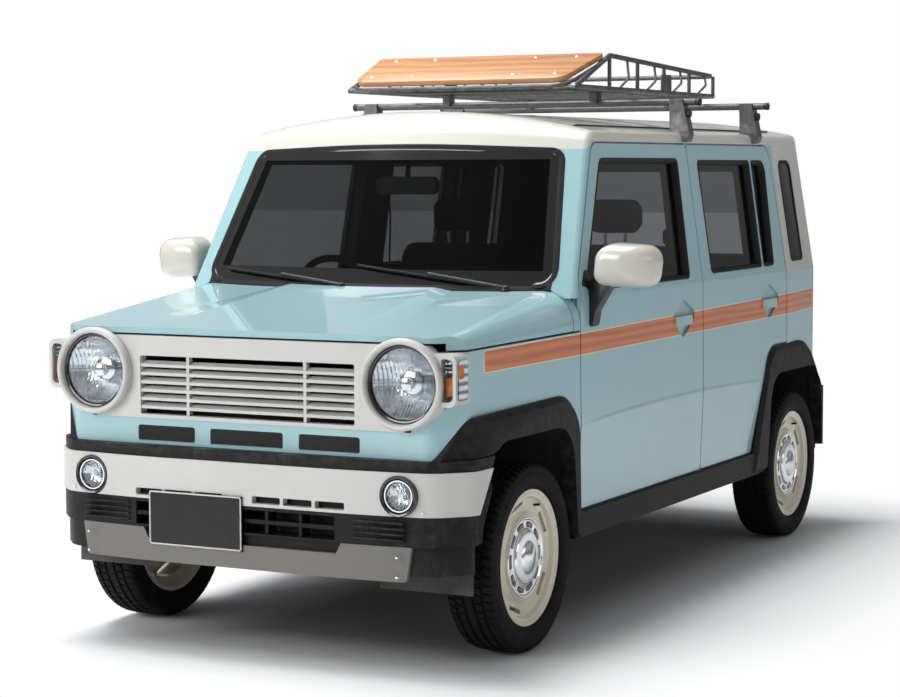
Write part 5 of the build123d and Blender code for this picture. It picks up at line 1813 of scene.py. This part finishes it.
class KEI_OT_cabin(Piece):
    """Instrument hood, screen, vents, console, levers, steering wheel and door trims"""

    bl_idname = "kei.cabin"
    bl_label = "Cabin"

    def build(self, context):
        self.steering_wheel()
        self.dashboard()
        self.console()
        for name, side in SIDES:
            self.door_trims(name, side)

    def steering_wheel(self):
        centre = Vector((-0.352, -0.452, 1.008))
        axis = Vector((0, cos(radians(25)), sin(radians(25))))
        up = Vector((0, -axis.z, axis.y))
        across = Vector((1, 0, 0))

        def at(out, angle, lift):
            return centre + (across * cos(angle) + up * sin(angle)) * out + axis * lift

        bm = bmesh.new()
        loops = []
        for i in range(72):
            angle = 2 * pi * i / 72
            thick = 0.0142 if abs(sin(angle)) < 0.5 else 0.0128
            loops.append(
                [
                    at(0.1645 + thick * cos(t), angle, thick * 1.05 * sin(t))
                    for t in [2 * pi * k / 14 for k in range(14)]
                ]
            )
        rings(bm, loops, closed_across=True)
        place(
            mesh_piece("wheel_grip", bm, "seal_rubber"), "steering_wheel", "black_trim", ("steering_wheel",),
        )
        bm = bmesh.new()
        for angle, wide in ((0.0, 0.021), (pi, 0.021), (-pi / 2, 0.019)):
            along, aside = across * cos(angle) + up * sin(angle), up * cos(angle) - across * sin(angle)
            loops = []
            for out, half, lift in (
                (0.020, wide * 1.5, 0.006), (0.070, wide * 1.2, 0.004), (0.120, wide, -0.002),
                (0.156, wide * 1.1, 0.0),
            ):
                loops.append(
                    [
                        centre + along * out + aside * a * half + axis * (lift + b)
                        for a, b in ((-1, -0.006), (-0.8, 0.006), (0.8, 0.006), (1, -0.006))
                    ]
                )
            rings(bm, loops)
        pad = rounded(
            [(-0.062, -0.050, 0.024), (0.062, -0.050, 0.024), (0.070, 0.046, 0.026), (-0.070, 0.046, 0.026)],
            6,
        )
        rings(
            bm,
            [
                [centre + across * p.x * s + up * p.y * s + axis * d for p in pad]
                for s, d in (
                    (0.92, -0.022), (1.0, -0.014), (1.0, 0.010), (0.93, 0.020), (0.70, 0.025), (0.30, 0.027),
                )
            ],
        )
        place(mesh_piece("wheel_spokes", bm, "dash_plastic"), "steering_wheel")

    def dashboard(self):
        bm = bmesh.new()
        hood = rounded(
            [(-0.490, 1.020, 0.03), (-0.215, 1.020, 0.03), (-0.235, 1.108, 0.05), (-0.470, 1.108, 0.05)], 6,
        )
        centre = Vector((-0.352, 1.060))
        rings(
            bm,
            [
                [((centre + (p - centre) * s).x, y, (centre + (p - centre) * s).y) for p in hood]
                for y, s in (
                    (-0.800, 0.80), (-0.760, 0.96), (-0.650, 1.0), (-0.632, 0.99), (-0.630, 0.93),
                    (-0.665, 0.88),
                )
            ],
        )
        slab(bm, oblong(-0.130, 0.850, 0.130, 1.010, 0.012, 5), "Y", -0.610, -0.548, 0.006)
        slab(bm, oblong(0.190, 0.800, 0.580, 0.900, 0.02, 5), "Y", -0.600, -0.545, 0.006)
        slab(bm, oblong(0.180, 0.930, 0.585, 0.975, 0.012, 4), "Y", -0.620, -0.556, 0.005)
        place(mesh_piece("dash_mouldings", bm, "dash_plastic"), "body", "dash_plastic")
        place(
            shaped(
                "dash_screen", "gloss_black", slab, oblong(-0.105, 0.905, 0.105, 0.998, 0.008, 4), "Y",
                -0.550, -0.543, 0.002,
            ),
            "body",
        )
        bm = bmesh.new()
        for x in (-0.580, -0.185, 0.185, 0.580):
            turned(
                bm, [(-0.600, 0.040), (-0.548, 0.040), (-0.545, 0.036), (-0.550, 0.031), (-0.600, 0.031)], 36,
                about_y(x, 0.985), closed=True,
            )
        for x in (-0.060, 0.0, 0.060):
            turned(
                bm, [(-0.550, 0.020), (-0.530, 0.018), (-0.528, 0.015), (-0.528, 0.0)], 28, about_y(x, 0.875),
            )
        place(mesh_piece("dash_vents", bm, "black_trim"), "body")

    def console(self):
        place(
            shaped(
                "gear_console", "dash_plastic", slab,
                rounded(
                    [
                        (-0.560, 0.700, 0.02), (-0.480, 0.845, 0.03), (-0.600, 0.860, 0.01),
                        (-0.720, 0.700, 0.01),
                    ],
                    4,
                ),
                "X", -0.060, 0.060, 0.008,
            ),
            "body",
        )
        lever = bent([(0.0, -0.520, 0.810), (0.0, -0.470, 0.850), (0.0, -0.455, 0.900)], 0.02)
        place(tube_line("gear_lever", lever, 0.008, "chrome"), "body")
        place(
            shaped(
                "gear_knob", "gloss_black", turned,
                [(0.895, 0.0), (0.897, 0.014), (0.915, 0.021), (0.940, 0.022), (0.952, 0.014), (0.955, 0.0)],
                28, lambda across, radius, angle: (radius * cos(angle), -0.455 + radius * sin(angle), across),
            ),
            "body",
        )
        for x, z in ((-0.20, 0.520), (-0.30, 0.535)):
            pedal = bent([(x, -0.760, 0.680), (x, -0.720, 0.560), (x, -0.690, z)], 0.04)
            place(
                tube_line(f"pedal_arm_{'brake' if x < -0.25 else 'throttle'}", pedal, 0.007, "chassis_steel"),
                "body",
            )
            bm = bmesh.new()
            half = 0.034 if x < -0.25 else 0.022
            slab(bm, oblong(x - half, z - 0.030, x + half, z + 0.030, 0.006, 3), "Y", -0.694, -0.682, 0.002)
            place(mesh_piece(f"pedal_pad_{'brake' if x < -0.25 else 'throttle'}", bm, "seal_rubber"), "body")

    def door_trims(self, name, side):
        for label, y0, y1, body in (
            ("front", -0.700, 0.080, f"door_front_{name}"), ("rear", 0.420, 0.900, f"door_rear_{name}"),
        ):
            bm = bmesh.new()
            rest = rounded(
                [
                    (y0 + 0.12, 0.800, 0.02), (y1 - 0.06, 0.800, 0.02), (y1 - 0.06, 0.850, 0.016),
                    (y0 + 0.16, 0.838, 0.02),
                ],
                5,
            )
            slab(bm, rest, "X", side * 0.662, side * 0.606, 0.008)
            pocket = rounded(
                [
                    (y0 + 0.10, 0.470, 0.03), (y1 - 0.10, 0.470, 0.03), (y1 - 0.14, 0.600, 0.03),
                    (y0 + 0.14, 0.600, 0.03),
                ],
                5,
            )
            slab(bm, pocket, "X", side * 0.660, side * 0.626, 0.008)
            place(mesh_piece(f"door_trim_{label}_{name}", bm, "dash_plastic"), body)
            grip = bent(
                [
                    (side * 0.652, y0 + 0.06, 0.930), (side * 0.628, y0 + 0.07, 0.930),
                    (side * 0.628, y0 + 0.16, 0.935), (side * 0.652, y0 + 0.17, 0.935),
                ],
                0.012,
            )
            place(tube_line(f"door_pull_{label}_{name}", grip, 0.007, "chrome"), body)


class KEI_OT_seats(Piece):
    """Seats with stuffed cushions, backs and head restraints"""

    bl_idname = "kei.seats"
    bl_label = "Seats"

    def build(self, context):
        sizes = context.scene.kei_cabin
        base = [
            (-0.205, 0.395, 0.03), (-0.222, 0.560, 0.05), (-0.205, 0.612, 0.05), (0.170, 0.585, 0.06),
            (0.215, 0.395, 0.03),
        ]
        back = [
            (0.205, 0.520, 0.03), (0.315, 1.140, 0.04), (0.355, 1.188, 0.04), (0.415, 1.178, 0.05),
            (0.318, 0.520, 0.04),
        ]
        head = [(0.350, 1.225, 0.03), (0.358, 1.350, 0.04), (0.408, 1.355, 0.04), (0.412, 1.225, 0.03)]
        rear_base = [
            (0.715, 0.400, 0.03), (0.705, 0.560, 0.05), (0.730, 0.588, 0.05), (1.070, 0.566, 0.06),
            (1.085, 0.400, 0.03),
        ]
        rear_back = [
            (1.070, 0.470, 0.03), (1.180, 1.075, 0.05), (1.210, 1.105, 0.04), (1.255, 1.095, 0.05),
            (1.160, 0.470, 0.04),
        ]
        rear_head = [(1.212, 1.135, 0.03), (1.218, 1.238, 0.035), (1.258, 1.240, 0.035), (1.258, 1.135, 0.03)]
        shapes = (
            ("front_cushion", base, 0.090, 0.560, (0.095,), 0.325, ("front_seats",)),
            ("front_back", back, 0.095, 0.555, (0.095,), 0.325, ()),
            ("front_head", head, 0.215, 0.435, (), 0.325, ()),
            ("rear_cushion", rear_base, 0.012, 0.455, (0.100,), 0.2335, ("rear_seat",)),
            ("rear_back", rear_back, 0.012, 0.455, (0.100,), 0.2335, ()),
            ("rear_head", rear_head, 0.165, 0.355, (), 0.260, ()),
        )
        for label, outline_corners, x0, x1, seams, middle, instead in shapes:
            mesh = self.cushion(context, label, outline_corners, x0, x1, seams, middle, sizes)
            for name, side in SIDES:
                piece = bpy.data.objects.new(f"{label}_{name}", mesh)
                context.scene.collection.objects.link(piece)
                if side < 0:
                    piece.location.x = -(x0 + x1)
                place(piece, "body", "seat_fabric", instead if side > 0 else ())
        for name, side in SIDES:
            self.frames(name, side)

    def cushion(self, context, label, corners, x0, x1, seams, middle, sizes):
        """Voxel mesh of a side outline, blown up as cloth between its seams."""
        bm = bmesh.new()
        points = rounded(corners, 6)
        slab(bm, points, "X", x0, x1, 0.030)
        block = mesh_piece(label, bm, "seat_cloth")
        fine = block.modifiers.new("even mesh", "REMESH")
        fine.mode = "VOXEL"
        fine.voxel_size = sizes.voxel
        fine.use_smooth_shade = True
        mesh = self.applied(context, block)
        start_places = [v.co.copy() for v in mesh.vertices]
        self.stuff(context, block, seams, middle)
        blown = self.applied(context, block)
        for vertex, start in zip(blown.vertices, start_places):
            moved = vertex.co - start
            if moved.length > sizes.swell:
                vertex.co = start + moved.normalized() * sizes.swell
        mesh = blown
        block.modifiers.clear()
        smooth = block.modifiers.new("fine", "SUBSURF")
        smooth.levels = smooth.render_levels = 1
        mesh = self.applied(context, block)
        bpy.data.objects.remove(block)
        for polygon in mesh.polygons:
            polygon.use_smooth = True
        return mesh

    def applied(self, context, block):
        """Bakes the modifiers into a mesh of the object's own."""
        graph = context.evaluated_depsgraph_get()
        mesh = bpy.data.meshes.new_from_object(block.evaluated_get(graph))
        block.modifiers.clear()
        block.data = mesh
        return mesh

    def stuff(self, context, block, seams, middle):
        held = block.vertex_groups.new(name="seams")
        for vertex in block.data.vertices:
            across = abs(vertex.co.x - middle)
            if any(abs(across - seam) < 0.007 for seam in seams):
                held.add([vertex.index], 1.0, "REPLACE")
        low = min(v.co.z for v in block.data.vertices)
        held.add([v.index for v in block.data.vertices if v.co.z < low + 0.02], 1.0, "REPLACE")
        cloth = block.modifiers.new("stuffing", "CLOTH")
        cloth.settings.quality = 4
        cloth.settings.mass = 0.3
        cloth.settings.tension_stiffness = 14
        cloth.settings.compression_stiffness = 10
        cloth.settings.bending_stiffness = 0.6
        cloth.settings.use_pressure = True
        cloth.settings.uniform_pressure_force = 4.0
        cloth.settings.vertex_group_mass = held.name
        cloth.settings.effector_weights.gravity = 0.0
        cloth.collision_settings.use_collision = False
        cloth.collision_settings.use_self_collision = False
        cloth.point_cache.frame_start, cloth.point_cache.frame_end = 1, 20
        for number in range(1, 21):
            context.scene.frame_set(number)

    def frames(self, name, side):
        for label, x, y, low, high in (
            ("front", 0.285, 0.383, 1.170, 1.240), ("front_out", 0.365, 0.383, 1.170, 1.240),
            ("rear", 0.225, 1.236, 1.090, 1.150), ("rear_out", 0.295, 1.236, 1.090, 1.150),
        ):
            post = [(side * x, y, low), (side * x, y, high)]
            place(tube_line(f"head_post_{label}_{name}", post, 0.006, "chrome"), "body")
        bm = bmesh.new()
        for y0, y1, x0, x1, z0, z1 in (
            (-0.170, 0.190, 0.110, 0.150, 0.356, 0.402), (-0.170, 0.190, 0.500, 0.540, 0.356, 0.402),
            (0.740, 1.060, 0.030, 0.440, 0.356, 0.402),
        ):
            foot = oblong(y0, z0, y1, z1, 0.006, 3)
            slab(bm, foot, "X", side * x0, side * x1, 0.003)
        place(mesh_piece(f"seat_rails_{name}", bm, "chassis_steel"), "body")
        bm = bmesh.new()
        lever = rounded(
            [(-0.080, 0.430, 0.02), (0.200, 0.430, 0.02), (0.200, 0.500, 0.02), (-0.060, 0.520, 0.02)], 4,
        )
        slab(bm, lever, "X", side * 0.566, side * 0.578, 0.003)
        place(mesh_piece(f"seat_side_{name}", bm, "dash_plastic"), "body")
        belt = [
            (side * 0.612, 0.330, 1.430), (side * 0.600, 0.345, 1.300), (side * 0.604, 0.330, 0.700),
            (side * 0.606, 0.310, 0.420),
        ]
        place(tube_line(f"belt_run_{name}", bent(belt, 0.1), 0.0035, "seat_cloth"), "body")


class KEI_OT_stage(Piece):
    """Pale floor, soft lights, white backdrop and the camera"""

    bl_idname = "kei.stage"
    bl_label = "Stage"

    def build(self, context):
        context.scene.view_settings.view_transform = "Standard"
        self.floor()
        self.world(context)
        self.lights(context)
        self.camera(context)

    def floor(self):
        bm = bmesh.new()
        bmesh.ops.create_grid(bm, x_segments=2, y_segments=2, size=60)
        plane = mesh_piece("studio_floor", bm, "studio_floor")
        plane.location.z = -0.0008
        plane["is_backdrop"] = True

    def world(self, context):
        world = bpy.data.worlds.new("studio")
        context.scene.world = world
        world.use_nodes = True
        nodes = Nodes(world.node_tree)
        world.node_tree.nodes.clear()
        direction = nodes.add("TexCoord").outputs["Generated"]
        _, _, up = nodes.split(direction)
        x, _, _ = nodes.split(direction)
        glow = nodes.spread(up, 0.0, 0.9, 0.10, 0.40)
        band = nodes.spread(nodes.size(nodes.minus(up, 0.16)), 0.0, 0.16, 0.30, 0.0)
        left = nodes.spread(x, -1.0, 0.2, 0.25, 0.0)
        light = nodes.plus(nodes.plus(glow, band), left)
        shade = nodes.add("Background", {"Color": linear(250, 252, 255), "Strength": light})
        white = nodes.add("Background", {"Color": (1, 1, 1), "Strength": 1.0})
        camera = nodes.add("LightPath").outputs["Is Camera Ray"]
        both = nodes.add("MixShader", {0: camera, 1: shade.outputs[0], 2: white.outputs[0]})
        nodes.add("OutputWorld", {0: both.outputs[0]})

    def lights(self, context):
        for name, kind, spot, aim, size, power in (
            ("overhead", "AREA", (-1.6, -0.4, 6.2), (0, 0, 0.2), (4.0, 4.0), 400.0),
            ("front_soft", "AREA", (-3.2, -7.0, 3.4), (0, -1.0, 0.7), (4.5, 3.0), 270.0),
            ("side_soft", "AREA", (7.5, -0.6, 3.2), (0.6, 0.2, 0.8), (5.0, 2.2), 50.0),
        ):
            lamp = bpy.data.lights.new(name, kind)
            lamp.shape = "RECTANGLE"
            lamp.size, lamp.size_y = size
            lamp.energy = power
            holder = bpy.data.objects.new(name, lamp)
            holder.location = spot
            holder.rotation_euler = (Vector(aim) - Vector(spot)).to_track_quat("-Z", "Y").to_euler()
            context.scene.collection.objects.link(holder)

    def camera(self, context):
        setting = context.scene.kei_stage
        yaw, pitch, roll = (radians(v) for v in setting.turn)
        forward = Vector((-sin(yaw) * cos(pitch), cos(yaw) * cos(pitch), -sin(pitch)))
        turn = forward.to_track_quat("-Z", "Y").to_matrix() @ Matrix.Rotation(roll, 3, "Z")
        eye = bpy.data.cameras.new("photo_camera")
        eye.lens = setting.lens
        eye.sensor_width = 36
        eye.clip_end = 200
        holder = bpy.data.objects.new("photo_camera", eye)
        holder.matrix_world = Matrix.Translation(Vector(setting.place)) @ turn.to_4x4()
        context.scene.collection.objects.link(holder)
        context.scene.camera = holder


def studio_floor():
    """Pale round the car, darkened under it by a painted shadow as well as by its cast shadow, and pure white
    to the camera farther off.
    """
    material, nodes, shader, out = start("studio_floor", Roughness=0.9)
    tone = use(nodes, "Tone drift", Colour=linear(248, 249, 250), Amount=0.008, Scale=0.6)
    x, y, _ = nodes.split()
    # Painted shadow: the base colour darkens towards a near-black grey inside the car's footprint.
    edge = nodes.larger(
        nodes.minus(nodes.size(nodes.minus(x, 0.15)), 0.80),
        nodes.minus(nodes.size(nodes.minus(y, 0.05)), 1.70),
    )
    painted_shadow = nodes.spread(edge, -0.45, 0.10, 0.75, 0.0)
    nodes.feed(shader["Base Color"], nodes.mix(painted_shadow, tone["Colour"], linear(40, 40, 41)))
    beside = nodes.larger(nodes.minus(nodes.size(nodes.minus(x, 0.1)), 0.75), 0.0)
    beyond = nodes.larger(nodes.minus(nodes.size(nodes.minus(y, 0.1)), 1.6), 0.0)
    reach = nodes.plus(nodes.times(beside, beside), nodes.times(beyond, beyond))
    far = nodes.spread(nodes.math("SQRT", reach), 0.0, 0.85)
    camera = nodes.add("LightPath").outputs["Is Camera Ray"]
    white = nodes.add("Emission", {"Color": (1, 1, 1), "Strength": 1.0})
    pale = nodes.tree.nodes["Principled BSDF"].outputs[0]
    seen = nodes.add("MixShader", {0: nodes.times(far, camera), 1: pale, 2: white.outputs[0]})
    nodes.feed(out.inputs[0], seen.outputs[0])
    return material


FINISHES["studio_floor"] = studio_floor

STEPS = (
    KEI_OT_finishes, KEI_OT_seals, KEI_OT_tyres, KEI_OT_wheel_caps, KEI_OT_front_lamps, KEI_OT_front_trim,
    KEI_OT_mirrors, KEI_OT_wipers, KEI_OT_arch_trim, KEI_OT_underside, KEI_OT_rack, KEI_OT_tail, KEI_OT_cabin,
    KEI_OT_seats, KEI_OT_stage,
)
SETTINGS = (
    ("kei_paint", PaintColours), ("kei_tyres", TyreSizes), ("kei_cabin", CabinSizes),
    ("kei_stage", StageSettings),
)


class KEI_PT_panel(bpy.types.Panel):
    """Settings and steps of the kei car's finish"""

    bl_idname = "KEI_PT_panel"
    bl_label = "Kei car"
    bl_space_type = "VIEW_3D"
    bl_region_type = "UI"
    bl_category = "Kei car"

    def draw(self, context):
        for name, group in SETTINGS:
            box = self.layout.box()
            for key in group.__annotations__:
                box.prop(getattr(context.scene, name), key)
        for step in STEPS:
            self.layout.operator(step.bl_idname)


def register():
    for name, group in SETTINGS:
        bpy.utils.register_class(group)
        setattr(bpy.types.Scene, name, bpy.props.PointerProperty(type=group))
    for step in STEPS:
        bpy.utils.register_class(step)
    bpy.utils.register_class(KEI_PT_panel)


def unregister():
    bpy.utils.unregister_class(KEI_PT_panel)
    for step in reversed(STEPS):
        bpy.utils.unregister_class(step)
    for name, group in reversed(SETTINGS):
        delattr(bpy.types.Scene, name)
        bpy.utils.unregister_class(group)


def main():
    register()
    for step in STEPS:
        group, name = step.bl_idname.split(".")
        if getattr(getattr(bpy.ops, group), name)() != {"FINISHED"}:
            raise RuntimeError(f"{step.bl_label} did not finish")
    {"cad": plain(CAD_BOX), "dressed": plain(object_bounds())}


def plain(box):
    return [[float(value) for value in corner] for corner in box]


if __name__ == "__main__":
    main()
